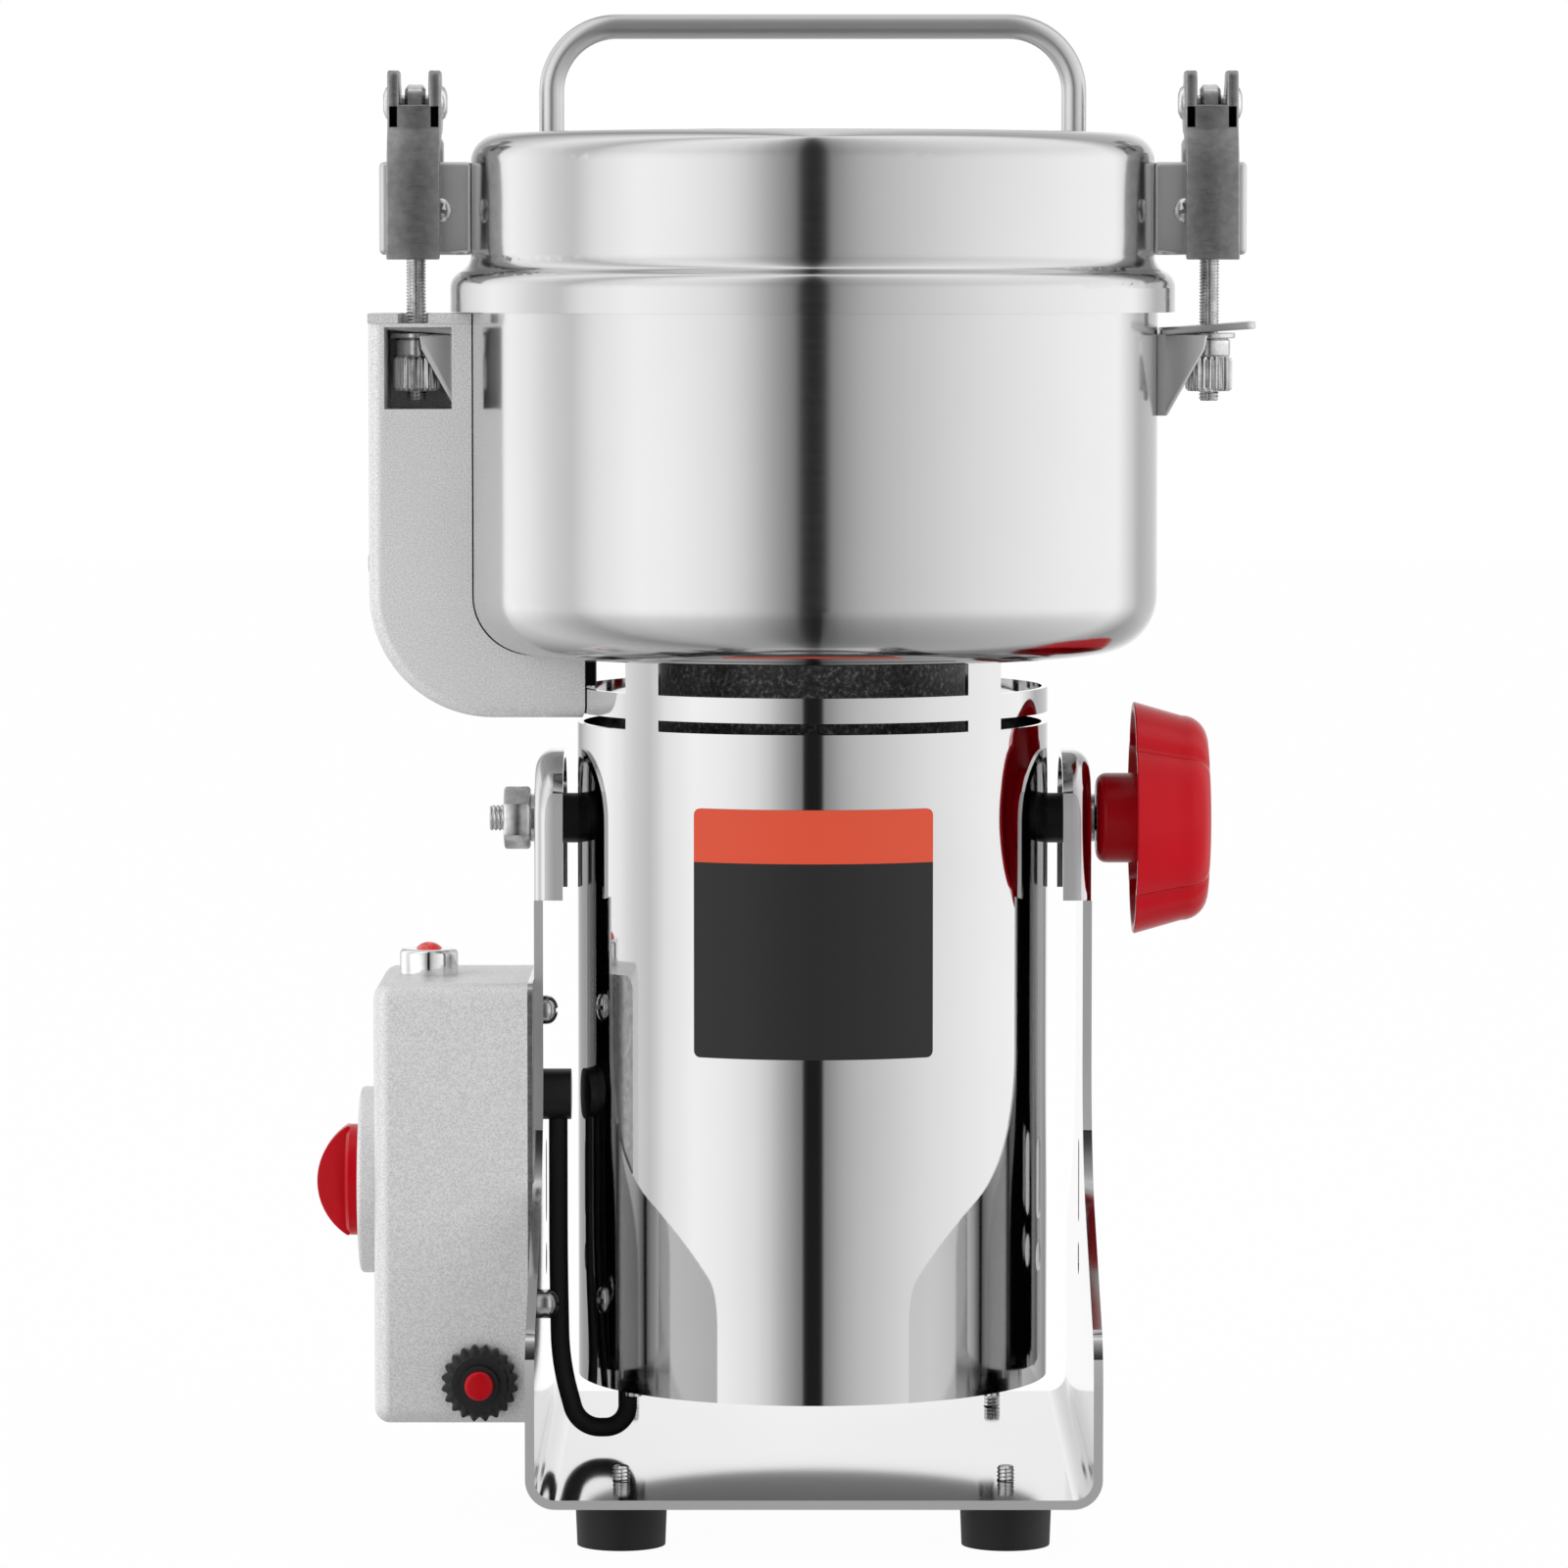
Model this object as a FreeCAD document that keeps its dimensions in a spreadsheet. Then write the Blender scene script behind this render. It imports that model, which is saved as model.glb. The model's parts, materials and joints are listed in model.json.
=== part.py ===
import FreeCAD, Part
import math
import os

import Sketcher

# Electric grain mill. Millimetres, +Z up, the front faces -Y.
# The origin is on the floor under the middle of the object.
# Every driving size stands once in this table, which fills the spreadsheet.
driving = {
    "axis_offset": 7.0,
    "foot_height": 13.0,
    "foot_low_radius": 10.5,
    "foot_high_radius": 11.0,
    "foot_half_spacing": 45.7,
    "foot_front": 62.5,
    "foot_rear": 52.0,
    "foot_recess_radius": 5.0,
    "foot_recess_depth": 5.0,
    "foot_screw_radius": 2.1,
    "foot_screw_head": 2.6,
    "foot_screw_stub": 3.6,
    "sheet_thickness": 2.2,
    "leg_gap": 7.9,
    "cradle_bend": 7.0,
    "plate_front": 91.5,
    "plate_rear": 77.0,
    "flare_top": 112.0,
    "flare_angle": 62.0,
    "flare_upper_radius": 40.0,
    "flare_lower_radius": 14.0,
    "ear_half_depth": 21.0,
    "ear_top": 185.5,
    "ear_round": 17.0,
    "ear_base": 150.0,
    "ear_flange": 7.0,
    "ear_bend": 4.6,
    "slot_low": 69.0,
    "slot_high": 89.5,
    "slot_radius": 3.4,
    "leg_hole_radius": 4.0,
    "leg_hole_level": 60.0,
    "pivot_level": 168.6,
    "pivot_radius": 3.3,
    "pivot_clearance": 0.08,
    "pivot_bolt_rise": 11.4,
    "stud_head": 3.0,
    "stud_inset": 4.0,
    "spacer_radius": 6.1,
    "washer_radius": 5.9,
    "washer_thickness": 1.4,
    "nut_across_corners": 15.8,
    "nut_thickness": 6.5,
    "box_width": 38.4,
    "box_low": 24.0,
    "box_high": 131.0,
    "box_front": 34.0,
    "box_rear": 18.0,
    "box_wall": 1.5,
    "box_edge": 4.0,
    "back_plate": 1.2,
    "control_depth": 8.0,
    "box_screw_low": 51.0,
    "box_screw_high": 123.0,
    "box_screw_radius": 1.9,
    "box_screw_head": 3.6,
    "box_screw_depth": 16.5,
    "box_boss_radius": 4.0,
    "box_boss_length": 8.0,
    "timer_level": 80.5,
    "dial_radius": 22.75,
    "dial_thickness": 4.3,
    "timer_radius": 19.0,
    "timer_depth": 22.0,
    "timer_bush_radius": 4.8,
    "timer_shaft_radius": 3.0,
    "timer_knob_radius": 13.6,
    "timer_knob_base": 3.0,
    "timer_grip_height": 7.4,
    "timer_grip_thickness": 7.0,
    "timer_knob_gap": 0.4,
    "lamp_inset": 12.4,
    "bezel_radius": 7.1,
    "bezel_height": 6.3,
    "lens_radius": 3.2,
    "lens_rise": 1.6,
    "lamp_body_radius": 5.0,
    "lamp_body_length": 18.0,
    "breaker_level": 34.5,
    "breaker_inset": 25.6,
    "collar_radius": 9.3,
    "collar_thickness": 4.5,
    "breaker_bush_radius": 4.65,
    "breaker_bush_rise": 1.8,
    "breaker_block": 14.0,
    "breaker_depth": 22.0,
    "button_radius": 3.5,
    "button_rise": 2.0,
    "button_travel": 1.5,
    "gland_level": 101.5,
    "gland_radius": 6.2,
    "gland_neck_radius": 4.8,
    "gland_length": 6.4,
    "lead_radius": 2.3,
    "lead_straight_end": 28.0,
    "lead_bend_end": 4.0,
    "lead_loop_drop": 12.0,
    "lead_forward": 5.0,
    "lead_loop_forward": 6.0,
    "lead_lean": 0.6,
    "lead_loop_start": 5.0,
    "lead_loop_end": 17.0,
    "mains_gland_level": 44.0,
    "mains_gland_length": 9.0,
    "mains_bore_radius": 3.2,
    "tube_radius": 57.5,
    "tube_wall": 1.5,
    "tube_low": 32.2,
    "slit_low": 192.4,
    "band_low": 195.1,
    "band_high": 201.1,
    "upright_offset": 41.0,
    "upright_width": 8.0,
    "bowl_low": 209.5,
    "bowl_radius": 84.0,
    "bowl_wall": 1.5,
    "bowl_corner": 14.0,
    "bowl_high": 293.0,
    "lid_low": 292.2,
    "lid_high": 335.3,
    "lid_inset": 0.8,
    "lid_wall": 1.2,
    "lid_corner": 7.0,
    "rim_overhang": 4.2,
    "rim_shoulder": 298.0,
    "neck_level": 306.0,
    "gasket_height": 3.6,
    "handle_rod": 3.0,
    "handle_half_width": 63.5,
    "handle_rise": 26.1,
    "handle_bend": 15.9,
    "clamp_outboard": 12.6,
    "bracket_reach": 22.0,
    "bracket_low": 306.0,
    "bracket_high": 328.5,
    "bracket_half_depth": 9.0,
    "bracket_sheet": 1.5,
    "clamp_screw_inboard": 6.2,
    "clamp_screw_level": 316.8,
    "clamp_screw_head": 3.1,
    "clamp_screw_rise": 2.0,
    "clamp_screw_radius": 1.5,
    "bolt_clearance": 0.5,
    "seat_radius": 7.8,
    "seat_height": 6.2,
    "draw_bolt_radius": 2.5,
    "draw_bolt_low": 270.5,
    "running_gap": 0.06,
    "pin_level": 342.9,
    "pin_radius": 2.0,
    "pin_head_radius": 4.3,
    "pin_head_rise": 1.3,
    "eye_radius": 4.5,
    "eye_width": 5.1,
    "lever_width": 12.9,
    "ear_plate": 3.0,
    "cam_radius": 6.4,
    "cam_forward": 0.26,
    "cam_drop": 1.5,
    "lever_top": 7.9,
    "lever_low": 304.8,
    "lever_sheet": 2.0,
    "lever_belly_level": 317.0,
    "lever_belly": 15.0,
    "lever_sweep": 34.0,
    "lever_lip": 6.0,
    "lever_lip_bend": 14.0,
    "lever_lip_rise": 1.6,
    "lever_seat": 0.6,
    "nut_collar_radius": 5.15,
    "nut_knurl_radius": 5.75,
    "nut_low": 272.9,
    "nut_collar_low": 281.3,
    "nut_high": 285.8,
    "clamp_washer_radius": 6.45,
    "clamp_washer": 1.3,
    "hook_level": 287.3,
    "hook_sheet": 2.0,
    "hook_half_depth": 9.0,
    "hook_low": 267.0,
    "hook_right": 23.6,
    "hook_left": 20.4,
    "hook_gusset": 11.7,
    "guard_standoff": 23.6,
    "guard_low": 194.0,
    "guard_high": 291.9,
    "guard_cap": 2.4,
    "guard_half_depth": 17.0,
    "guard_wall": 2.2,
    "guard_outer_round": 30.0,
    "guard_window_low": 268.8,
    "guard_window_high": 288.6,
    "guard_window_frame": 4.0,
    "guard_window_gap": 3.3,
    "guard_gap": 0.2,
    "guard_arm_sink": 4.0,
    "guard_bowl_sink": 20.0,
    "guard_hollow_sink": 5.0,
    "guard_screw_level": 231.0,
    "grommet_half_depth": 6.0,
    "rotor_radius": 25.0,
    "stator_gap": 4.5,
    "stator_yoke": 7.5,
    "pole_half_height": 16.0,
    "air_gap": 0.8,
    "stator_low": 88.0,
    "stator_high": 128.0,
    "coil_inner": 29.0,
    "coil_height": 11.0,
    "bearing_radius": 11.0,
    "bearing_width": 7.0,
    "shaft_radius": 4.0,
    "shaft_low": 42.0,
    "shaft_high": 258.0,
    "bottom_bearing_low": 43.0,
    "top_bearing_low": 196.0,
    "bottom_bracket_low": 40.0,
    "bottom_bracket_high": 50.0,
    "cover_thickness": 2.5,
    "tie_rod_radius": 2.0,
    "tie_rod_inset": 8.0,
    "tie_rod_depth": 20.0,
    "tie_rod_low": 29.0,
    "commutator_radius": 12.0,
    "commutator_low": 55.0,
    "commutator_high": 73.0,
    "brush_half_width": 3.5,
    "brush_low": 60.0,
    "brush_high": 68.0,
    "brush_length": 20.0,
    "holder_wall": 1.5,
    "fan_gap": 12.0,
    "fan_low": 150.0,
    "fan_plate": 2.0,
    "fan_blade": 9.0,
    "fan_blades": 8.0,
    "head_radius": 37.3,
    "head_wall": 6.0,
    "flange_low": 178.0,
    "flange_high": 184.0,
    "seal_radius": 14.0,
    "seal_height": 7.0,
    "blade_radius": 72.0,
    "blade_width": 22.0,
    "blade_thickness": 2.5,
    "blade_low": 224.0,
    "blade_pitch": 12.0,
    "blade_hub_radius": 9.0,
    "blade_step": 0.18,
    "knob_radius": 28.5,
    "knob_lobes": 4.0,
    "knob_lobe": 23.0,
    "knob_valley": 3.0,
    "knob_depth": 18.3,
    "knob_wall": 2.2,
    "knob_hub_radius": 11.0,
    "knob_hub_length": 11.3,
    "knob_gap": 0.3,
    "knob_taper": 0.87,
    "plate_half_angle": 29.5,
    "plate_low": 115.1,
    "plate_high": 174.6,
    "plate_thickness": 0.5,
}

doc = FreeCAD.newDocument("grain_mill")
sheet = doc.addObject("Spreadsheet::Sheet", "Sizes")
for row, (alias, number) in enumerate(driving.items(), start=1):
    sheet.set("A%d" % row, alias)
    sheet.set("B%d" % row, str(number))
    sheet.setAlias("B%d" % row, alias)
doc.recompute()


# A size is known both as a number and as the spreadsheet expression that gives it.
class Size:
    def __init__(self, number, text):
        self.number = number
        self.text = text

    def __add__(self, other):
        other = as_size(other)
        return Size(self.number + other.number, "(%s + %s)" % (self.text, other.text))

    def __sub__(self, other):
        other = as_size(other)
        return Size(self.number - other.number, "(%s - %s)" % (self.text, other.text))

    def __mul__(self, other):
        other = as_size(other)
        return Size(self.number * other.number, "(%s * %s)" % (self.text, other.text))

    def __truediv__(self, other):
        other = as_size(other)
        return Size(self.number / other.number, "(%s / %s)" % (self.text, other.text))

    def __radd__(self, other):
        return as_size(other) + self

    def __rsub__(self, other):
        return as_size(other) - self

    def __rmul__(self, other):
        return as_size(other) * self

    def __neg__(self):
        return as_size(0) - self


def as_size(value):
    if isinstance(value, Size):
        return value
    return Size(float(value), "%.6f" % value)


def sine(angle):
    return Size(math.sin(math.radians(angle.number)), "sin(%s)" % angle.text)


def cosine(angle):
    return Size(math.cos(math.radians(angle.number)), "cos(%s)" % angle.text)


# The driving sizes by name, such as d.tube_radius.
class Names:
    pass


d = Names()
for alias, number in driving.items():
    setattr(d, alias, Size(number, "Sizes." + alias))

facing = {
    "+x": FreeCAD.Rotation(FreeCAD.Vector(0, 1, 0), 90),
    "-x": FreeCAD.Rotation(FreeCAD.Vector(0, 1, 0), -90),
    "+y": FreeCAD.Rotation(FreeCAD.Vector(1, 0, 0), -90),
    "-y": FreeCAD.Rotation(FreeCAD.Vector(1, 0, 0), 90),
    "+z": FreeCAD.Rotation(),
}
nodes = {}
mid = d.axis_offset
fine_gap = 0.05
lid_radius = d.bowl_radius - d.lid_inset
rim_radius = d.bowl_radius + d.rim_overhang
clamp_offset = d.bowl_radius + d.clamp_outboard
guard_reach = d.bowl_radius + d.guard_standoff


def bind(item, prop, value):
    item.setExpression(prop, as_size(value).text)


def place(item, at, turn=None):
    item.Placement = FreeCAD.Placement(FreeCAD.Vector(0, 0, 0), turn or FreeCAD.Rotation())
    for letter, value in zip("xyz", at):
        bind(item, "Placement.Base." + letter, value)
    return item


def rod(radius, length, at, way="+z"):
    item = doc.addObject("Part::Cylinder", "rod")
    bind(item, "Radius", radius)
    bind(item, "Height", length)
    return place(item, at, facing[way])


def cone(low_radius, high_radius, height, at):
    item = doc.addObject("Part::Cone", "cone")
    bind(item, "Radius1", low_radius)
    bind(item, "Radius2", high_radius)
    bind(item, "Height", height)
    return place(item, at)


def block(x, y, z):
    item = doc.addObject("Part::Box", "block")
    for prop, (low, high) in zip(("Length", "Width", "Height"), (x, y, z)):
        bind(item, prop, as_size(high) - low)
    return place(item, (x[0], y[0], z[0]))


def hexagon(circumradius, height, at, way="+z"):
    item = doc.addObject("Part::Prism", "hexagon")
    item.Polygon = 6
    bind(item, "Circumradius", circumradius)
    bind(item, "Height", height)
    return place(item, at, facing[way])


def fuse(*items):
    item = doc.addObject("Part::MultiFuse", "joined")
    item.Shapes = list(items)
    return item


def cut(base, *tools):
    item = doc.addObject("Part::Cut", "trimmed")
    item.Base = base
    item.Tool = tools[0] if len(tools) == 1 else fuse(*tools)
    return item


def common(*items):
    item = doc.addObject("Part::MultiCommon", "shared")
    item.Shapes = list(items)
    return item


def group(items):
    item = doc.addObject("Part::Compound", "group")
    item.Links = list(items)
    return item


def ring(outer, inner, length, at, way="+z"):
    return cut(rod(outer, length, at, way), rod(inner, length, at, way))


# A closed sketch through points (across, up) or (across, up, bend), where bend is the radius of the arc that
# arrives at the point: above zero it turns anticlockwise, below zero clockwise.
def outline(body, role, points):
    plane = [feature for feature in body.Origin.OriginFeatures if feature.Role == role][0]
    sketch = body.newObject("Sketcher::SketchObject", "outline")
    sketch.AttachmentSupport = [(plane, "")]
    sketch.MapMode = "FlatFace"
    places = [FreeCAD.Vector(as_size(p[0]).number, as_size(p[1]).number, 0) for p in points]
    for index, point in enumerate(points):
        start = places[index - 1]
        end = places[index]
        if len(point) == 2:
            sketch.addGeometry(Part.LineSegment(start, end))
            continue
        radius = as_size(point[2]).number
        chord = end - start
        half = chord.Length / 2
        rise = math.sqrt(max(radius * radius - half * half, 0))
        side = FreeCAD.Vector(-chord.y, chord.x, 0)
        side.normalize()
        centre = (start + end) * 0.5 + side * math.copysign(rise, radius)
        circle = Part.Circle(centre, FreeCAD.Vector(0, 0, 1), abs(radius))
        first, last = (start, end) if radius > 0 else (end, start)
        sketch.addGeometry(Part.ArcOfCircle(circle, circle.parameter(first), circle.parameter(last)))
    for index, point in enumerate(points):
        turned = len(point) == 3 and as_size(point[2]).number < 0
        follower = (index + 1) % len(points)
        next_turned = len(points[follower]) == 3 and as_size(points[follower][2]).number < 0
        ends = (1 if turned else 2, 2 if next_turned else 1)
        sketch.addConstraint(Sketcher.Constraint("Coincident", index, ends[0], follower, ends[1]))
    for index, point in enumerate(points):
        turned = len(point) == 3 and as_size(point[2]).number < 0
        end = 1 if turned else 2
        for kind, value in (("DistanceX", point[0]), ("DistanceY", point[1])):
            number = as_size(value).number
            fixed = sketch.addConstraint(Sketcher.Constraint(kind, -1, 1, index, end, number))
            bind(sketch, "Constraints[%d]" % fixed, value)
        if len(point) == 3:
            radius = point[2] if as_size(point[2]).number > 0 else -as_size(point[2])
            fixed = sketch.addConstraint(Sketcher.Constraint("Radius", index, as_size(radius).number))
            bind(sketch, "Constraints[%d]" % fixed, radius)
    return sketch


def revolved(points, at, way="+z"):
    body = doc.addObject("PartDesign::Body", "turned")
    sketch = outline(body, "XZ_Plane", points)
    turn = body.newObject("PartDesign::Revolution", "revolution")
    turn.Profile = sketch
    turn.ReferenceAxis = (sketch, ["V_Axis"])
    turn.Angle = 360
    return place(body, at, facing[way])


# A pad of an outline, half to each side of its plane: "XZ_Plane" pads along Y, "YZ_Plane" along X.
def padded(role, points, width, at):
    body = doc.addObject("PartDesign::Body", "padded")
    sketch = outline(body, role, points)
    pad = body.newObject("PartDesign::Pad", "pad")
    pad.Profile = sketch
    pad.SideType = "Symmetric"
    bind(pad, "Length", width)
    return place(body, at)


# Rounds the edges of a body that the chooser picks by their middle point.
def soften(body, radius, chooser):
    doc.recompute()
    tip = body.Tip
    names = []
    for index, edge in enumerate(tip.Shape.Edges, start=1):
        if chooser(edge.CenterOfMass):
            names.append("Edge%d" % index)
    fillet = body.newObject("PartDesign::Fillet", "rounding")
    fillet.Base = (tip, names)
    bind(fillet, "Radius", radius)
    return body


def rounded_box(low, high, corner, front, rear):
    return [
        (-front, low + corner),
        (corner - front, low, corner),
        (rear - corner, low),
        (rear, low + corner, corner),
        (rear, high - corner),
        (rear - corner, high, corner),
        (corner - front, high),
        (-front, high - corner, corner),
    ]


def node(label, item):
    item.Label = label
    nodes[label] = item
    return item


# Cradle: one bent sheet, cut to the leg outline, with a dished ear on each leg.
leg_in = d.tube_radius + d.leg_gap
leg_out = leg_in + d.sheet_thickness
plate_top = d.foot_height + d.sheet_thickness
inner_bend = d.cradle_bend - d.sheet_thickness
bend_top = d.foot_height + d.cradle_bend
bend_end = leg_out - d.cradle_bend
u_points = [
    (-leg_out, d.ear_base),
    (-leg_out, bend_top),
    (-bend_end, d.foot_height, d.cradle_bend),
    (bend_end, d.foot_height),
    (leg_out, bend_top, d.cradle_bend),
    (leg_out, d.ear_base),
    (leg_in, d.ear_base),
    (leg_in, bend_top),
    (bend_end, plate_top, -inner_bend),
    (-bend_end, plate_top),
    (-leg_in, bend_top, -inner_bend),
    (-leg_in, d.ear_base),
]
plate_middle = (d.plate_rear - d.plate_front) / 2
plate_length = d.plate_rear + d.plate_front
u_sheet = padded("XZ_Plane", u_points, plate_length, (mid, plate_middle, 0))

flare_cos = cosine(d.flare_angle)
flare_sin = sine(d.flare_angle)
upper_out = d.ear_half_depth + d.flare_upper_radius * (1 - flare_cos)
upper_level = d.flare_top - d.flare_upper_radius * flare_sin
lower_drop = d.flare_lower_radius * flare_sin
lower_in = d.flare_lower_radius * (1 - flare_cos)


def flare_level(reach):
    return upper_level - (reach - lower_in - upper_out) * flare_cos / flare_sin


front_level = flare_level(d.plate_front)
rear_level = flare_level(d.plate_rear)
leg_points = [
    (-d.plate_front, 0),
    (d.plate_rear, 0),
    (d.plate_rear, rear_level - lower_drop),
    (d.plate_rear - lower_in, rear_level, d.flare_lower_radius),
    (upper_out, upper_level),
    (d.ear_half_depth, d.flare_top, -d.flare_upper_radius),
    (d.ear_half_depth, d.ear_base),
    (-d.ear_half_depth, d.ear_base),
    (-d.ear_half_depth, d.flare_top),
    (-upper_out, upper_level, -d.flare_upper_radius),
    (lower_in - d.plate_front, front_level),
    (-d.plate_front, front_level - lower_drop, d.flare_lower_radius),
]
leg_shape = padded("YZ_Plane", leg_points, leg_out * 2, (mid, 0, 0))


def arch(inset, base):
    side = d.ear_half_depth - inset
    top = d.ear_top - inset
    bend = d.ear_round - inset
    return [
        (-side, base),
        (side, base),
        (side, top - bend),
        (side - bend, top, bend),
        (bend - side, top),
        (-side, top - bend, bend),
    ]


def ear_dish(sign):
    outside = sign * leg_out
    shell_x = mid + outside - sign * d.ear_flange / 2
    shell = padded("YZ_Plane", arch(0, d.ear_base), d.ear_flange, (shell_x, 0, 0))
    edge_x = sign * d.ear_flange.number / 2
    base_z = d.ear_base.number
    soften(shell, d.ear_bend, lambda c: abs(c.x - edge_x) < 0.01 and c.z > base_z + 0.01)
    inner_x = mid + outside - sign * (d.sheet_thickness + d.ear_flange / 2)
    hollow = padded("YZ_Plane", arch(d.sheet_thickness, d.ear_base - 1), d.ear_flange, (inner_x, 0, 0))
    soften(
        hollow,
        d.ear_bend - d.sheet_thickness,
        lambda c: abs(c.x - edge_x) < 0.01 and c.z > base_z,
    )
    return cut(shell, hollow)


feet = []
for side in (-1, 1):
    for depth in (-d.foot_front, d.foot_rear):
        feet.append((mid + side * d.foot_half_spacing, depth))
screw_hole = d.foot_screw_radius + fine_gap
box_screw_hole = d.box_screw_radius + fine_gap
pivot_hole = d.pivot_radius + d.pivot_clearance
leg_span = leg_out * 2
leg_left = mid - leg_out
drills = [rod(screw_hole, d.cradle_bend, (x, y, d.foot_height)) for x, y in feet]
drills.append(rod(pivot_hole, leg_span, (leg_left, 0, d.pivot_level), "+x"))
drills.append(rod(d.leg_hole_radius, leg_span, (leg_left, 0, d.leg_hole_level), "+x"))
for level in (d.slot_low + d.slot_radius, d.slot_high - d.slot_radius):
    drills.append(rod(d.slot_radius, leg_span, (leg_left, 0, level), "+x"))
drills.append(
    block(
        (leg_left, leg_left + leg_span),
        (-d.slot_radius, d.slot_radius),
        (d.slot_low + d.slot_radius, d.slot_high - d.slot_radius),
    )
)
for level in (d.box_screw_low, d.box_screw_high):
    drills.append(rod(box_screw_hole, d.cradle_bend, (leg_left, -d.box_screw_depth, level), "+x"))
gland_hole = d.gland_neck_radius + fine_gap
drills.append(rod(gland_hole, d.cradle_bend, (leg_left, -d.control_depth, d.gland_level), "+x"))
bent_sheet = fuse(common(u_sheet, leg_shape), ear_dish(-1), ear_dish(1))
node("cradle_bracket", cut(bent_sheet, *drills))

# Feet and their screws, which stand a little above the plate.
rubber_feet = []
foot_screws = []
for x, y in feet:
    foot = cone(d.foot_low_radius, d.foot_high_radius, d.foot_height, (x, y, 0))
    recess = rod(d.foot_recess_radius, d.foot_recess_depth, (x, y, 0))
    bore = rod(screw_hole, d.foot_height, (x, y, 0))
    rubber_feet.append(cut(foot, recess, bore))
    head_low = d.foot_recess_depth - d.foot_screw_head
    head = rod(d.foot_recess_radius - 1, d.foot_screw_head, (x, y, head_low))
    shank = rod(d.foot_screw_radius, plate_top + d.foot_screw_stub - head_low, (x, y, head_low))
    foot_screws.append(fuse(head, shank))
node("rubber_feet", group(rubber_feet))
node("foot_screws", group(foot_screws))

# Control box on the outer face of the left leg.
box_right = leg_left
box_left = box_right - d.box_width
shell_length = d.box_width - d.back_plate
control_y = -d.control_depth
screw_y = -d.box_screw_depth
shell_middle = box_left + shell_length / 2
box_points = rounded_box(d.box_low, d.box_high, d.box_edge, d.box_front, d.box_rear)
box_outer = padded("YZ_Plane", box_points, shell_length, (shell_middle, 0, 0))
shell_edge = -shell_length.number / 2
soften(box_outer, d.box_edge - 0.2, lambda c: abs(c.x - shell_edge) < 0.01)
inner_points = rounded_box(
    d.box_low + d.box_wall,
    d.box_high - d.box_wall,
    d.box_edge - d.box_wall,
    d.box_front - d.box_wall,
    d.box_rear - d.box_wall,
)
box_inner = padded("YZ_Plane", inner_points, shell_length, (shell_middle + d.box_wall, 0, 0))
lamp_x = box_left + d.lamp_inset
breaker_x = box_left + d.breaker_inset
timer_hole = rod(d.timer_bush_radius + fine_gap, d.box_edge, (box_left, control_y, d.timer_level), "+x")
lamp_hole = rod(d.lamp_body_radius + fine_gap, d.box_edge, (lamp_x, control_y, d.box_high - d.box_edge))
breaker_at = (breaker_x, -d.box_front, d.breaker_level)
breaker_hole = rod(d.breaker_bush_radius + fine_gap, d.box_edge, breaker_at, "+y")
mains_hole = rod(gland_hole, d.box_edge, (shell_middle, d.box_rear - d.box_edge, d.mains_gland_level), "+y")
node("control_box_shell", cut(box_outer, box_inner, timer_hole, lamp_hole, breaker_hole, mains_hole))

back_plate = padded("YZ_Plane", box_points, d.back_plate, (box_right - d.back_plate / 2, 0, 0))
bosses = []
boss_bores = [rod(gland_hole, d.cradle_bend, (box_right, control_y, d.gland_level), "-x")]
box_screws = []
for level in (d.box_screw_low, d.box_screw_high):
    boss_start = box_right - d.back_plate
    bosses.append(rod(d.box_boss_radius, d.box_boss_length, (boss_start, screw_y, level), "-x"))
    boss_bores.append(rod(box_screw_hole, d.box_width / 2, (box_right, screw_y, level), "-x"))
    head_x = box_right + d.sheet_thickness
    head = rod(d.box_screw_head, d.box_screw_head, (head_x, screw_y, level), "+x")
    shank_length = d.sheet_thickness + d.back_plate + d.box_boss_length
    shank = rod(d.box_screw_radius, shank_length, (head_x, screw_y, level), "-x")
    box_screws.append(fuse(head, shank))
node("control_box_back_plate", cut(fuse(back_plate, *bosses), *boss_bores))
node("box_screws", group(box_screws))

# Timer: clockwork case inside the box, dial boss outside, knob on its shaft.
inner_left = box_left + d.box_wall
timer_case = rod(d.timer_radius, d.timer_depth, (inner_left, control_y, d.timer_level), "+x")
dial_left = box_left - d.dial_thickness
bush_start = dial_left + d.dial_thickness / 2
timer_bush = rod(d.timer_bush_radius, inner_left - bush_start, (bush_start, control_y, d.timer_level), "+x")
shaft_bore = rod(
    d.timer_shaft_radius + d.running_gap, d.timer_depth / 2 + inner_left - bush_start,
    (bush_start, control_y, d.timer_level), "+x",
)
node("timer_body", cut(fuse(timer_case, timer_bush), shaft_bore))
dial_points = [
    (d.timer_bush_radius + fine_gap, 0),
    (d.dial_radius, 0),
    (d.dial_radius, d.dial_thickness * 0.75),
    (d.dial_radius - d.dial_thickness * 0.25, d.dial_thickness, d.dial_thickness * 0.25),
    (d.timer_bush_radius + fine_gap, d.dial_thickness),
]
node("timer_dial_plate", revolved(dial_points, (box_left, control_y, d.timer_level), "-x"))
knob_right = dial_left - d.timer_knob_gap
knob_mid = knob_right - d.timer_knob_base
shaft_left = knob_mid - d.timer_grip_height / 3
shaft_length = inner_left + d.timer_depth / 3 - shaft_left
node("timer_shaft", rod(d.timer_shaft_radius, shaft_length, (shaft_left, control_y, d.timer_level), "+x"))
knob_base = rod(d.timer_knob_radius, d.timer_knob_base, (knob_right, control_y, d.timer_level), "-x")
grip_half = d.timer_knob_radius - 0.4
grip_bend = (grip_half * grip_half + d.timer_grip_height * d.timer_grip_height) / (2 * d.timer_grip_height)
grip_points = [
    (1, -grip_half),
    (1, grip_half),
    (0, grip_half),
    (-d.timer_grip_height, 0, grip_bend),
    (0, -grip_half, grip_bend),
]
grip = padded("XZ_Plane", grip_points, d.timer_grip_thickness, (knob_mid, control_y, d.timer_level))
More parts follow.
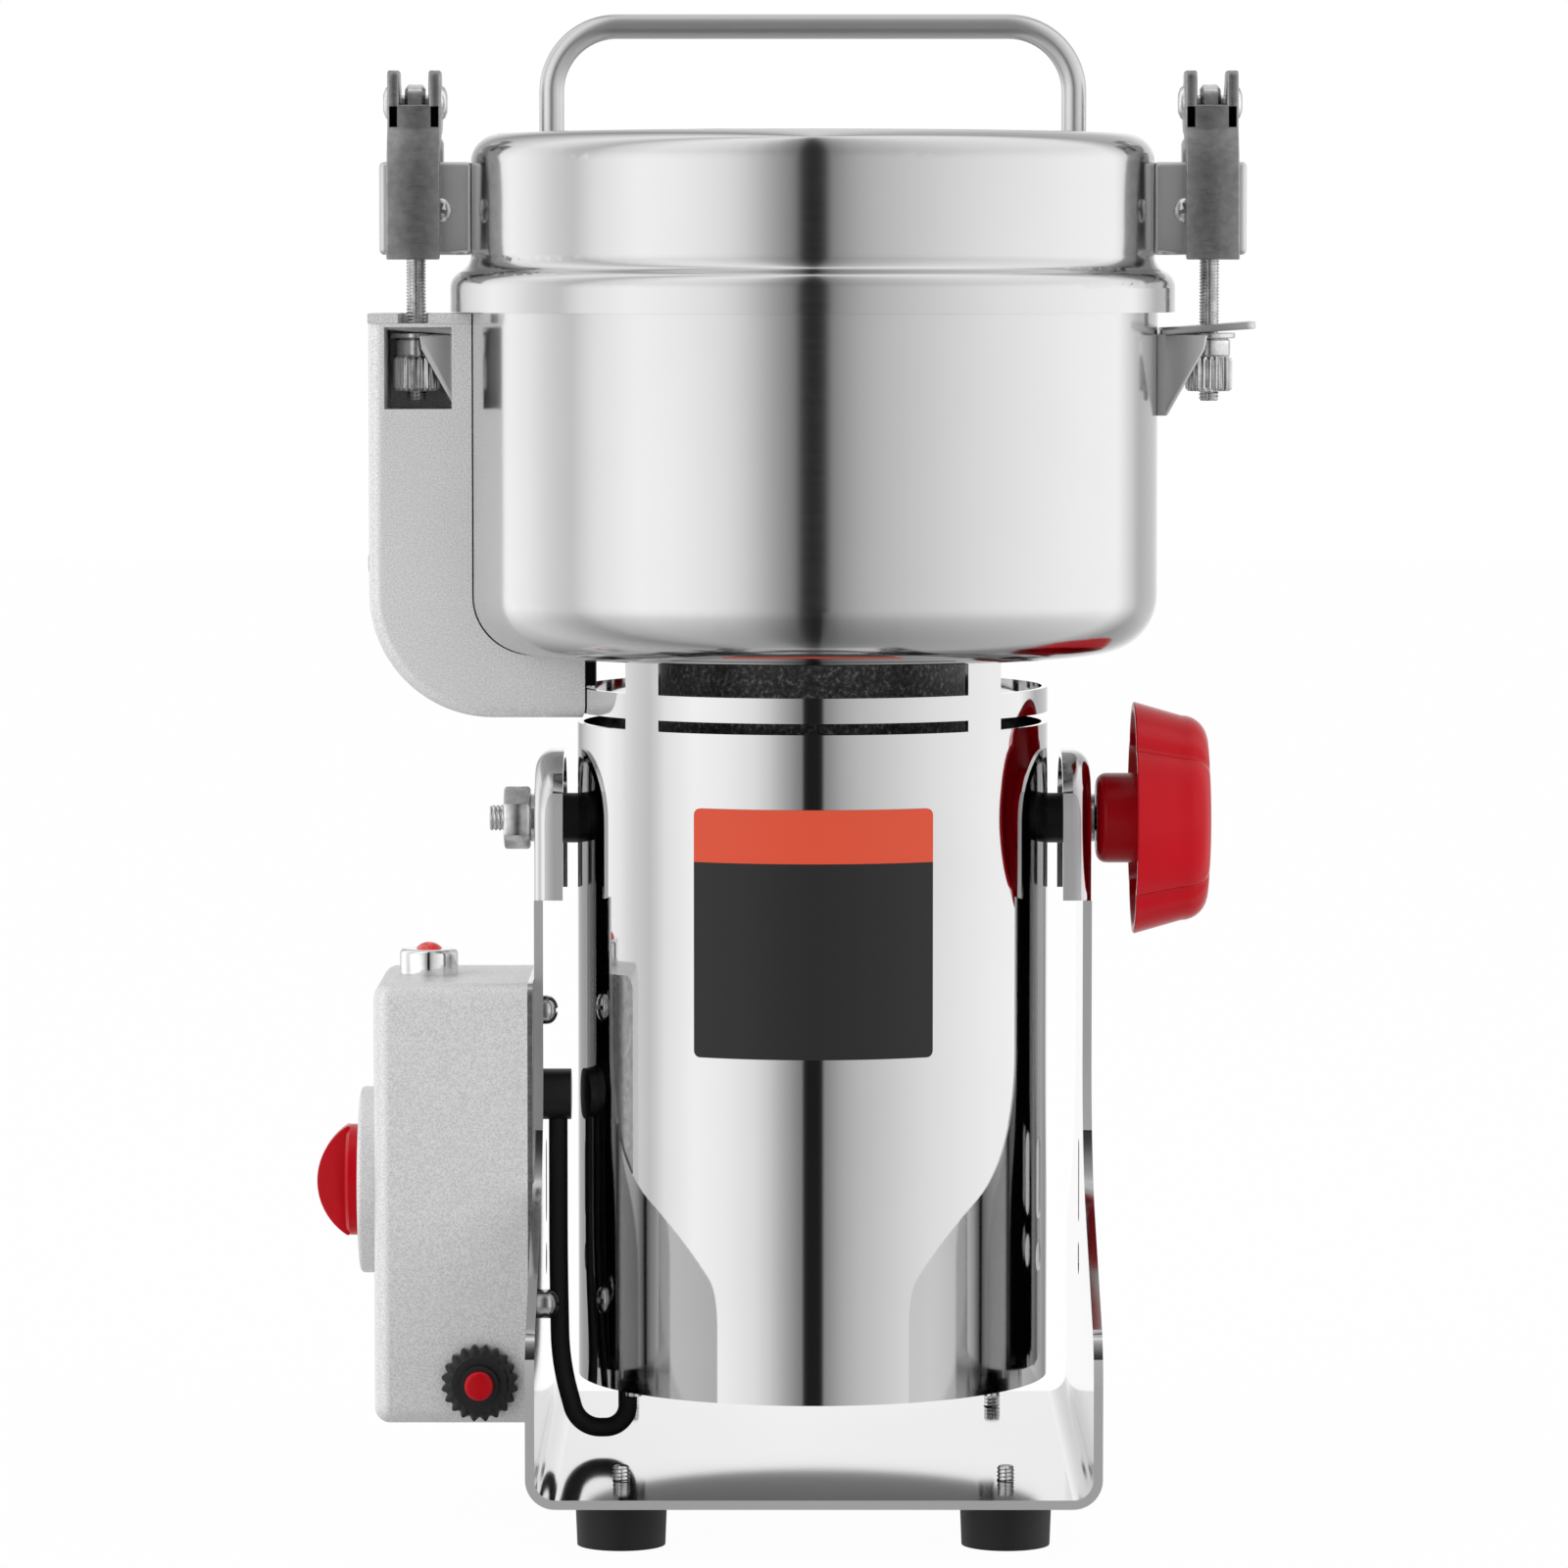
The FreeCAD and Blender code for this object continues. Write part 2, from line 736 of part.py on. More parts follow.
knob_bore = rod(
    d.timer_shaft_radius, knob_right - shaft_left, (knob_right, control_y, d.timer_level), "-x"
)
node("timer_knob", cut(fuse(knob_base, grip), knob_bore))

# Lamp on top of the box: holder, chrome bezel, lens.
holder_low = d.box_high - d.box_wall - d.lamp_body_length
node("lamp_holder", rod(d.lamp_body_radius, d.lamp_body_length + d.box_wall, (lamp_x, control_y, holder_low)))
bezel_points = [
    (d.lens_radius + fine_gap, 0),
    (d.bezel_radius, 0),
    (d.bezel_radius, d.bezel_height * 0.8),
    (d.bezel_radius - d.bezel_height * 0.2, d.bezel_height, d.bezel_height * 0.2),
    (d.lens_radius + fine_gap, d.bezel_height),
]
node("lamp_bezel", revolved(bezel_points, (lamp_x, control_y, d.box_high)))
lens_bend = (d.lens_radius * d.lens_radius + d.lens_rise * d.lens_rise) / (2 * d.lens_rise)
lens_points = [
    (0, 0),
    (d.lens_radius, 0),
    (d.lens_radius, d.bezel_height),
    (0, d.bezel_height + d.lens_rise, lens_bend),
]
node("lamp_lens", revolved(lens_points, (lamp_x, control_y, d.box_high)))

# Breaker: body inside the front wall, collar outside, push button in its bush.
half_block = d.breaker_block / 2
inner_front = d.box_wall - d.box_front
breaker_case = block(
    (breaker_x - half_block, breaker_x + half_block),
    (inner_front, inner_front + d.breaker_depth),
    (d.breaker_level - half_block, d.breaker_level + half_block),
)
bush_length = d.box_wall + d.collar_thickness + d.breaker_bush_rise
breaker_bush = rod(d.breaker_bush_radius, bush_length, (breaker_x, inner_front, d.breaker_level), "-y")
bush_front = inner_front - bush_length
button_hole = rod(
    d.button_radius + d.running_gap, bush_length + d.breaker_depth / 2,
    (breaker_x, bush_front, d.breaker_level), "+y",
)
node("breaker_body", cut(fuse(breaker_case, breaker_bush), button_hole))
node(
    "breaker_collar",
    ring(
        d.collar_radius, d.breaker_bush_radius + fine_gap, d.collar_thickness,
        breaker_at, "-y",
    ),
)
button_front = bush_front - d.button_rise
button_length = d.button_rise + bush_length + d.breaker_depth / 2 - d.button_travel - 1
node("breaker_button", rod(d.button_radius, button_length, (breaker_x, button_front, d.breaker_level), "+y"))

# Glands: one for the motor lead through the leg, one for the mains lead at the back of the box.
leg_face = leg_left + d.sheet_thickness
lead_x = leg_face + d.gland_length / 2
gland_head = rod(d.gland_radius, d.gland_length, (leg_face, control_y, d.gland_level), "+x")
neck_length = d.sheet_thickness + d.back_plate + 4
gland_neck = rod(d.gland_neck_radius, neck_length, (leg_face, control_y, d.gland_level), "-x")
lead_drop = rod(d.lead_radius, d.gland_radius, (lead_x, control_y, d.gland_level - d.gland_radius))
node("lead_gland", cut(fuse(gland_head, gland_neck), lead_drop))
mains_at = (shell_middle, d.box_rear - d.box_edge, d.mains_gland_level)
mains_neck = rod(d.gland_neck_radius, d.box_edge, mains_at, "+y")
mains_head = rod(d.gland_radius, d.mains_gland_length, (shell_middle, d.box_rear, d.mains_gland_level), "+y")
mains_bore = rod(d.mains_bore_radius, d.box_edge + d.mains_gland_length, mains_at, "+y")
node("mains_gland", cut(fuse(mains_neck, mains_head), mains_bore))

# Motor tube: closed below, with a slit, a band and windows above, carried up to the bowl on four uprights.
tube_inner = d.tube_radius - d.tube_wall
tube_span = d.tube_radius * 2
stator_radius = tube_inner - d.stator_gap
coil_outer = stator_radius - d.stator_yoke
tie_rod_across = stator_radius - d.tie_rod_inset
fan_radius = tube_inner - d.fan_gap


def upright(side):
    centre = mid + side * d.upright_offset
    half = d.upright_width / 2
    return block((centre - half, centre + half), (-d.tube_radius, d.tube_radius), (d.slit_low, d.bowl_low))


slit = rod(d.tube_radius, d.band_low - d.slit_low, (mid, 0, d.slit_low))
windows = rod(d.tube_radius, d.bowl_low - d.band_high, (mid, 0, d.band_high))
gaps = cut(fuse(slit, windows), upright(-1), upright(1))
tube_blank = ring(d.tube_radius, tube_inner, d.bowl_low - d.tube_low, (mid, 0, d.tube_low))
tube_drill = rod(pivot_hole, tube_span, (mid - d.tube_radius, 0, d.pivot_level), "+x")
node("motor_tube", cut(tube_blank, gaps, tube_drill))

tie_rods = []
tie_places = []
for side in (-1, 1):
    for depth in (-1, 1):
        tie_places.append((mid + side * tie_rod_across, depth * d.tie_rod_depth))
tie_hole = d.tie_rod_radius + fine_gap


def tie_drills(low, high):
    return [rod(tie_hole, high - low, (x, y, low)) for x, y in tie_places]


for x, y in tie_places:
    tie_rods.append(rod(d.tie_rod_radius, d.flange_high - d.tie_rod_low, (x, y, d.tie_rod_low)))
node("tie_rods", group(tie_rods))
cover_high = d.tube_low + d.cover_thickness
fit_radius = tube_inner - fine_gap
cover = rod(fit_radius, d.cover_thickness, (mid, 0, d.tube_low))
node("motor_bottom_cover", cut(cover, *tie_drills(d.tube_low, cover_high)))

# Motor works, from the bottom bracket to the head casting under the bowl.
bottom_disc = rod(fit_radius, d.bottom_bracket_high - d.bottom_bracket_low, (mid, 0, d.bottom_bracket_low))
bottom_pocket = rod(d.bearing_radius, d.bearing_width, (mid, 0, d.bottom_bearing_low))
bottom_bore = rod(d.shaft_radius + 1, d.bottom_bracket_high, (mid, 0, d.bottom_bearing_low - 2))
bottom_drills = tie_drills(d.bottom_bracket_low, d.bottom_bracket_high)
node("motor_bottom_bracket", cut(bottom_disc, bottom_pocket, bottom_bore, *bottom_drills))
race_bore = d.shaft_radius + d.running_gap
bearings = []
for low in (d.bottom_bearing_low, d.top_bearing_low):
    bearings.append(ring(d.bearing_radius, race_bore, d.bearing_width, (mid, 0, low)))
node("motor_bearings", group(bearings))

stator_height = d.stator_high - d.stator_low
stator_bore = d.rotor_radius + d.air_gap
stator = ring(stator_radius, stator_bore, stator_height, (mid, 0, d.stator_low))
pole_windows = common(
    ring(coil_outer, d.coil_inner, stator_height, (mid, 0, d.stator_low)),
    block(
        (mid - coil_outer, mid + coil_outer), (-d.pole_half_height, d.pole_half_height),
        (d.stator_low, d.stator_high),
    ),
)
node("stator_core", cut(stator, pole_windows, *tie_drills(d.stator_low, d.stator_high)))
coils = []
for low in (d.stator_low - d.coil_height, d.stator_high):
    coil_ring = ring(coil_outer, d.coil_inner, d.coil_height, (mid, 0, low))
    coil_gap = block(
        (mid - d.tube_radius, mid + d.tube_radius), (-d.coil_height / 2, d.coil_height / 2),
        (low, low + d.coil_height),
    )
    clear = [rod(tie_hole + 2, d.coil_height, (x, y, low)) for x, y in tie_places]
    coils.append(cut(coil_ring, coil_gap, *clear))
node("field_coils", group(coils))

node("rotor_shaft", rod(d.shaft_radius, d.shaft_high - d.shaft_low, (mid, 0, d.shaft_low)))
node("rotor_core", ring(d.rotor_radius, d.shaft_radius, stator_height, (mid, 0, d.stator_low)))
commutator_height = d.commutator_high - d.commutator_low
node("commutator", ring(d.commutator_radius, d.shaft_radius, commutator_height, (mid, 0, d.commutator_low)))
fan_parts = [rod(fan_radius, d.fan_plate, (mid, 0, d.fan_low))]
fan_parts.append(rod(d.bearing_radius, d.fan_blade, (mid, 0, d.fan_low)))
for index in range(int(d.fan_blades.number)):
    vane = block(
        (d.bearing_radius - 1, fan_radius - 1), (-d.fan_plate / 2, d.fan_plate / 2),
        (d.fan_low, d.fan_low + d.fan_blade),
    )
    turn = FreeCAD.Rotation(FreeCAD.Vector(0, 0, 1), 360.0 * index / d.fan_blades.number)
    holder = doc.addObject("Part::Compound", "vane")
    holder.Links = [vane]
    fan_parts.append(place(holder, (mid, 0, 0), turn))
fan_bore = rod(d.shaft_radius, d.fan_blade, (mid, 0, d.fan_low))
node("cooling_fan", cut(fuse(*fan_parts), fan_bore))

brushes = []
holders = []
for way, sign in (("-y", -1), ("+y", 1)):
    near = d.commutator_radius + 0.1
    far = near + d.brush_length
    spans = (near * sign, far * sign) if sign > 0 else (far * sign, near * sign)
    brushes.append(
        block(
            (mid - d.brush_half_width, mid + d.brush_half_width), spans, (d.brush_low, d.brush_high),
        )
    )
    wall = d.brush_half_width + d.holder_wall
    outer_end = tube_inner - 2
    start = near + 2
    reach = (start * sign, outer_end * sign) if sign > 0 else (outer_end * sign, start * sign)
    casing = block(
        (mid - wall, mid + wall), reach,
        (d.bottom_bracket_high, d.brush_high + d.holder_wall),
    )
    channel = block(
        (mid - d.brush_half_width, mid + d.brush_half_width),
        (0, outer_end) if sign > 0 else (-outer_end, 0),
        (d.brush_low, d.brush_high),
    )
    holders.append(cut(casing, channel))
node("brush_gear", group(brushes + holders))

head_top = d.bowl_low
flange = rod(fit_radius, d.flange_high - d.flange_low, (mid, 0, d.flange_low))
head = rod(d.head_radius, head_top - d.flange_low, (mid, 0, d.flange_low))
head_hollow = rod(d.head_radius - d.head_wall, d.top_bearing_low - d.flange_low - 3, (mid, 0, d.flange_low))
head_pocket = rod(d.bearing_radius, d.bearing_width, (mid, 0, d.top_bearing_low))
head_bore = rod(d.shaft_radius + 1, head_top - d.flange_low, (mid, 0, d.flange_low))
head_drills = tie_drills(d.flange_low, d.flange_high)
node("motor_head", cut(fuse(flange, head), head_hollow, head_pocket, head_bore, *head_drills))

# Rating plate, bent to the tube.
plate_seat = d.tube_radius + fine_gap
plate_blank = rod(plate_seat + d.plate_thickness, d.plate_high - d.plate_low, (mid, 0, d.plate_low))
bind(plate_blank, "Angle", 2 * d.plate_half_angle)
start_angle = 270 - d.plate_half_angle
plate_blank.Placement = FreeCAD.Placement(
    FreeCAD.Vector(0, 0, 0), FreeCAD.Rotation(FreeCAD.Vector(0, 0, 1), start_angle.number)
)
bind(plate_blank, "Placement.Rotation.Angle", start_angle)
plate_core = rod(plate_seat, d.plate_high - d.plate_low, (mid, 0, d.plate_low))
node("rating_plate", cut(plate_blank, plate_core))

# Pivot: a stud on each side with its head inside the tube, a spacer, a washer, a nut on the left.
spacers = []
studs = []
washers = []
for sign, way in ((-1, "-x"), (1, "+x")):
    inside = mid + sign * (tube_inner - d.stud_inset)
    end = leg_out + d.pivot_bolt_rise
    if sign > 0:
        end = leg_out + d.washer_thickness + d.knob_gap + d.knob_hub_length
    stud = rod(d.pivot_radius, end - tube_inner + d.stud_inset, (inside, 0, d.pivot_level), way)
    stud_head = rod(d.nut_thickness, d.stud_head, (inside, 0, d.pivot_level), way)
    studs.append(fuse(stud, stud_head))
    spacer_from = mid + sign * tube_inner
    spacer = rod(d.spacer_radius, leg_in - tube_inner - fine_gap, (spacer_from, 0, d.pivot_level), way)
    spacer_bore = rod(d.pivot_radius + fine_gap, leg_in - tube_inner, (spacer_from, 0, d.pivot_level), way)
    tube_core = rod(d.tube_radius, d.spacer_radius * 4, (mid, 0, d.pivot_level - d.spacer_radius * 2))
    spacers.append(cut(spacer, spacer_bore, tube_core))
    washer_at = (mid + sign * (leg_out + fine_gap), 0, d.pivot_level)
    washer_bore = d.pivot_radius + fine_gap
    washers.append(ring(d.washer_radius, washer_bore, d.washer_thickness - fine_gap, washer_at, way))
node("pivot_studs", group(studs))
node("pivot_spacers", group(spacers))
nut_x = mid - leg_out - d.washer_thickness
nut_hex = hexagon(d.nut_across_corners / 2, d.nut_thickness, (nut_x, 0, d.pivot_level), "-x")
nut_bore = rod(d.pivot_radius + 0.02, d.nut_thickness, (nut_x, 0, d.pivot_level), "-x")
node("pivot_fasteners", group(washers + [cut(nut_hex, nut_bore)]))


# Lock knob: a lobed cup, open towards the leg, on a round hub.
def lobed_wire(scale, inset, x):
    count = int(d.knob_lobes.number)
    lobe = d.knob_lobe.number * scale - inset
    pitch = (d.knob_radius.number - d.knob_lobe.number) * scale
    valley = d.knob_valley.number * scale + inset
    half_step = math.pi / count
    reach = lobe + valley
    middle = pitch * math.cos(half_step)
    hollow = middle + math.sqrt(reach * reach - (pitch * math.sin(half_step)) ** 2)
    edges = []

    def point(radius, angle):
        return FreeCAD.Vector(x, radius * math.cos(angle), radius * math.sin(angle))

    def contact(lobe_angle, valley_angle):
        centre = point(pitch, lobe_angle)
        other = point(hollow, valley_angle)
        return centre + (other - centre) * (lobe / reach)

    for index in range(count):
        angle = index * 2 * half_step
        before = contact(angle, angle - half_step)
        after = contact(angle, angle + half_step)
        following = contact(angle + 2 * half_step, angle + half_step)
        edges.append(Part.Arc(before, point(pitch + lobe, angle), after).toShape())
        edges.append(Part.Arc(after, point(hollow - valley, angle + half_step), following).toShape())
    return Part.Wire(edges)


def lobed_cup():
    depth = d.knob_depth.number
    wall = d.knob_wall.number
    taper = d.knob_taper.number
    outer_rings = ((1.0, 0.0), (taper + 0.05, depth * 0.6), (taper, depth * 0.85), (taper - 0.1, depth))
    inner_rings = ((1.0, -0.01), (taper + 0.05, depth * 0.6), (taper, depth * 0.85 - wall * 0.6))
    outer = Part.makeLoft([lobed_wire(scale, 0, x) for scale, x in outer_rings], True)
    inner = Part.makeLoft([lobed_wire(scale, wall, x) for scale, x in inner_rings], True)
    return outer.cut(inner)


knob_start = leg_out + d.washer_thickness + d.knob_gap
cup_start = knob_start + d.knob_hub_length - d.knob_wall
cup = doc.addObject("Part::Feature", "cup")
cup.Shape = lobed_cup()
place(cup, (mid + cup_start, 0, d.pivot_level))
hub_length = d.knob_hub_length - d.knob_wall + d.knob_depth * 0.85
hub = rod(d.knob_hub_radius, hub_length, (mid + knob_start, 0, d.pivot_level), "+x")
hub_at = (mid + knob_start, 0, d.pivot_level)
hub_bore = rod(d.pivot_radius + d.running_gap, d.knob_hub_length + d.knob_wall, hub_at, "+x")
node("lock_knob", cut(fuse(cup, hub), hub_bore))

# Grinding bowl with its seal, and the two hooks welded to its side.
bowl_in = d.bowl_radius - d.bowl_wall
corner_end = d.bowl_radius - d.bowl_corner
floor_top = d.bowl_low + d.bowl_wall
seal_bore = d.shaft_radius + 0.1
bowl_points = [
    (seal_bore, d.bowl_low),
    (corner_end, d.bowl_low),
    (d.bowl_radius, d.bowl_low + d.bowl_corner, d.bowl_corner),
    (d.bowl_radius, d.bowl_high),
    (bowl_in, d.bowl_high),
    (bowl_in, d.bowl_low + d.bowl_corner),
    (corner_end, floor_top, -(d.bowl_corner - d.bowl_wall)),
    (seal_bore, floor_top),
]
node("grinding_bowl", revolved(bowl_points, (mid, 0, 0)))
node("shaft_seal", ring(d.seal_radius, seal_bore, d.seal_height, (mid, 0, floor_top)))


def bowl_core(margin):
    points = [
        (0, d.bowl_low - margin),
        (corner_end, d.bowl_low - margin),
        (d.bowl_radius + margin, d.bowl_low + d.bowl_corner, d.bowl_corner + margin),
        (d.bowl_radius + margin, d.lid_high),
        (0, d.lid_high),
    ]
    return revolved(points, (mid, 0, 0))


def hook(sign, reach):
    def across(near, far):
        return (mid + near, mid + far) if sign > 0 else (mid - far, mid - near)

    inner = d.bowl_radius - 3
    plate = block(
        across(inner, reach), (-d.hook_half_depth, d.hook_half_depth),
        (d.hook_level, d.hook_level + d.hook_sheet),
    )
    slot_half = d.draw_bolt_radius + d.bolt_clearance
    slot_start = clamp_offset - slot_half
    slot = block(
        across(slot_start, reach), (-slot_half, slot_half), (d.hook_level, d.hook_level + d.hook_sheet)
    )
    gusset_end = d.bowl_radius + d.hook_gusset
    gusset_points = [
        (sign * inner, d.hook_level),
        (sign * gusset_end, d.hook_level),
        (sign * gusset_end, d.hook_level - d.hook_sheet * 2),
        (sign * (d.bowl_radius + d.hook_sheet), d.hook_low),
        (sign * inner, d.hook_low),
    ]
    gussets = []
    for depth in (-1, 1):
        y = depth * (d.hook_half_depth - d.hook_sheet / 2)
        gussets.append(padded("XZ_Plane", gusset_points, d.hook_sheet, (mid, y, 0)))
    strap = common(
        rod(d.bowl_radius + d.hook_sheet, d.hook_level - d.hook_low, (mid, 0, d.hook_low)),
        block(
            across(inner, d.bowl_radius + d.hook_sheet), (-d.hook_half_depth, d.hook_half_depth),
            (d.hook_low, d.hook_level),
        ),
    )
    core = rod(d.bowl_radius, d.lid_high - d.bowl_low, (mid, 0, d.bowl_low))
    return cut(fuse(cut(plate, slot), strap, *gussets), core)


node("bowl_hooks", group([hook(-1, d.bowl_radius + d.hook_left), hook(1, d.bowl_radius + d.hook_right)]))

# Lid: a pressed shell with a flared rim, its gasket and its bent-rod handle.
flare_width = (rim_radius - lid_radius) / 2
flare_height = (d.neck_level - d.rim_shoulder) / 2
flare_bend = (flare_width * flare_width + flare_height * flare_height) / (2 * flare_width)
lid_in = lid_radius - d.lid_wall
rim_in = rim_radius - d.lid_wall
slope_cos = (flare_bend - flare_width) / flare_bend
slope_sin = flare_height / flare_bend
middle_r = lid_radius + flare_width
middle_z = d.rim_shoulder + flare_height
lid_points = [
    (0, d.lid_high - d.lid_wall),
    (lid_radius - d.lid_corner, d.lid_high - d.lid_wall),
    (lid_in, d.lid_high - d.lid_corner, -(d.lid_corner - d.lid_wall)),
    (lid_in, d.neck_level),
    (middle_r - d.lid_wall * slope_cos, middle_z - d.lid_wall * slope_sin, flare_bend + d.lid_wall),
    (rim_in, d.rim_shoulder, -(flare_bend - d.lid_wall)),
    (rim_in, d.lid_low),
    (rim_radius, d.lid_low),
    (rim_radius, d.rim_shoulder),
    (middle_r, middle_z, flare_bend),
    (lid_radius, d.neck_level, -flare_bend),
    (lid_radius, d.lid_high - d.lid_corner),
    (lid_radius - d.lid_corner, d.lid_high, d.lid_corner),
    (0, d.lid_high),
]
node("lid_shell", revolved(lid_points, (mid, 0, 0)))
node("lid_gasket", ring(rim_in - fine_gap, bowl_in, d.gasket_height, (mid, 0, d.bowl_high)))

handle_top = d.lid_high + d.handle_rise
bend_level = handle_top - d.handle_bend
handle_parts = [
    rod(
        d.handle_rod, 2 * (d.handle_half_width - d.handle_bend),
        (mid - d.handle_half_width + d.handle_bend, 0, handle_top), "+x",
    )
]
for sign in (-1, 1):
    x = mid + sign * d.handle_half_width
    handle_parts.append(rod(d.handle_rod, bend_level - d.lid_high, (x, 0, d.lid_high)))
    corner = doc.addObject("Part::Torus", "handle_corner")
    bind(corner, "Radius1", d.handle_bend)
    bind(corner, "Radius2", d.handle_rod)
    corner.Angle3 = 90
    spin = FreeCAD.Rotation(FreeCAD.Vector(1, 0, 0), 90)
    if sign < 0:
        spin = FreeCAD.Rotation(FreeCAD.Vector(0, 0, 1), 180).multiply(spin)
    handle_parts.append(place(corner, (x - sign * d.handle_bend, 0, bend_level), spin))
node("lid_handle", fuse(*handle_parts))


# Clamp: bracket on the lid, cam seat, draw bolt with an eye, cross pin, cam lever, washer and knurled nut.
def clamp_bracket(sign):
    def across(near, far):
        return (mid + near, mid + far) if sign > 0 else (mid - far, mid - near)

    inner = lid_radius - 3
    reach = lid_radius + d.bracket_reach
    deep = d.bracket_half_depth
    sheet = d.bracket_sheet
    body = block(across(inner, reach), (-deep, deep), (d.bracket_low, d.bracket_high))
    hollow = block(
        across(lid_radius + sheet, reach), (sheet - deep, deep - sheet),
        (d.bracket_low + sheet, d.bracket_high - sheet),
    )
    core = rod(lid_radius, d.lid_high - d.lid_low, (mid, 0, d.lid_low))
    bolt_x = mid + sign * clamp_offset
    bolt_bore = d.draw_bolt_radius + d.bolt_clearance
    drill = rod(bolt_bore, d.bracket_high - d.bracket_low, (bolt_x, 0, d.bracket_low))
    screw_x = mid + sign * (clamp_offset - d.clamp_screw_inboard)
    screw_drill = rod(
        d.clamp_screw_radius + fine_gap, 2 * deep, (screw_x, -deep, d.clamp_screw_level), "+y"
    )
    return cut(body, hollow, core, drill, screw_drill)


def clamp_screws(sign):
    screw_x = mid + sign * (clamp_offset - d.clamp_screw_inboard)
    made = []
    for way, side in (("-y", -1), ("+y", 1)):
        face = side * d.bracket_half_depth
        head = rod(d.clamp_screw_head, d.clamp_screw_rise, (screw_x, face, d.clamp_screw_level), way)
        back = "+y" if side < 0 else "-y"
        at = (screw_x, face, d.clamp_screw_level)
        shank = rod(d.clamp_screw_radius, d.bracket_half_depth / 3, at, back)
        made.append(fuse(head, shank))
    return made


def cam_seat(sign):
    at = (mid + sign * clamp_offset, 0, d.bracket_high)
    bore = rod(d.draw_bolt_radius + d.bolt_clearance, d.seat_height, at)
    return cut(hexagon(d.seat_radius, d.seat_height, at), bore)


node("clamp_brackets", group([clamp_bracket(-1), clamp_bracket(1)]))
node("cam_seats", group([cam_seat(-1), cam_seat(1)]))


def draw_bolt(x):
    shank = rod(d.draw_bolt_radius, d.pin_level - d.draw_bolt_low, (x, 0, d.draw_bolt_low))
    eye = rod(d.eye_radius, d.eye_width, (x - d.eye_width / 2, 0, d.pin_level), "+x")
    bore = rod(d.pin_radius + d.running_gap, d.eye_width, (x - d.eye_width / 2, 0, d.pin_level), "+x")
    return cut(fuse(shank, eye), bore)


def clamp_pin(x):
    half = d.lever_width / 2
    parts = [rod(d.pin_radius, d.lever_width, (x - half, 0, d.pin_level), "+x")]
    parts.append(rod(d.pin_head_radius, d.pin_head_rise, (x - half, 0, d.pin_level), "-x"))
    parts.append(rod(d.pin_head_radius, d.pin_head_rise, (x + half, 0, d.pin_level), "+x"))
    return fuse(*parts)


def clamp_lever(x):
    half = d.lever_width / 2
    front = d.cam_radius + d.cam_forward + d.lever_seat
    web_top = d.pin_level - d.lever_seat
    knee = d.pin_level - d.cam_radius
    sheet = d.lever_sheet
    tip = d.lever_lip_rise
    lip_top = d.lever_low + d.lever_lip
    web_points = [
        (-front, web_top),
        (-front - sheet, web_top),
        (-front - sheet, knee),
        (-d.lever_belly, d.lever_belly_level, d.lever_sweep),
        (-d.lever_belly, lip_top),
        (-d.lever_belly - tip, d.lever_low, -d.lever_lip_bend),
        (sheet - d.lever_belly - tip, d.lever_low),
        (sheet - d.lever_belly, lip_top, d.lever_lip_bend - sheet),
        (sheet - d.lever_belly, d.lever_belly_level),
        (-front, knee, sheet - d.lever_sweep),
    ]
    parts = [padded("YZ_Plane", web_points, d.lever_width, (x, 0, 0))]
    bores = []
    for side in (-1, 1):
        start = x + side * half - (d.ear_plate if side > 0 else 0)
        parts.append(
            rod(d.cam_radius, d.ear_plate, (start, -d.cam_forward, d.pin_level - d.cam_drop), "+x")
        )
        parts.append(
            block(
                (start, start + d.ear_plate), (-front - sheet, 1),
                (d.pin_level, d.pin_level + d.lever_top),
            )
        )
        parts.append(
            block((start, start + d.ear_plate), (-front - sheet, 0), (knee, d.pin_level))
        )
        bores.append(rod(d.pin_radius, d.ear_plate, (start, 0, d.pin_level), "+x"))
    return cut(fuse(*parts), *bores)


def clamp_nut(x):
    collar = rod(d.nut_collar_radius, d.nut_high - d.nut_collar_low, (x, 0, d.nut_collar_low))
    knurl = rod(d.nut_knurl_radius, d.nut_collar_low - d.nut_low, (x, 0, d.nut_low))
    bore = rod(d.draw_bolt_radius + d.running_gap, d.nut_high - d.nut_low, (x, 0, d.nut_low))
    return cut(fuse(collar, knurl), bore)


def clamp_washer(x):
    at = (x, 0, d.nut_high + fine_gap)
    return ring(d.clamp_washer_radius, d.draw_bolt_radius + fine_gap, d.clamp_washer, at)


for name, sign in (("left", -1), ("right", 1)):
    bolt_x = mid + sign * clamp_offset
    node("draw_bolt_" + name, group([draw_bolt(bolt_x), clamp_washer(bolt_x)]))
    node("clamp_pin_" + name, clamp_pin(bolt_x))
    node("clamp_lever_" + name, clamp_lever(bolt_x))
    node("clamp_nut_" + name, clamp_nut(bolt_x))

# Guard over the left hook: a painted L-shaped housing with a window, its cap, and the lid switch inside.
arm_high = d.bowl_low - d.guard_gap


def guard_outline(inset, inner_x, end_x, top):
    outer = guard_reach - inset
    bend = d.guard_outer_round - inset
    low = d.guard_low + inset
    return [
        (-outer, top),
        (-outer, low + bend),
        (bend - outer, low, bend),
        (-end_x, low),
        (-end_x, arm_high - inset),
        (-inner_x, arm_high - inset),
        (-inner_x, top),
    ]


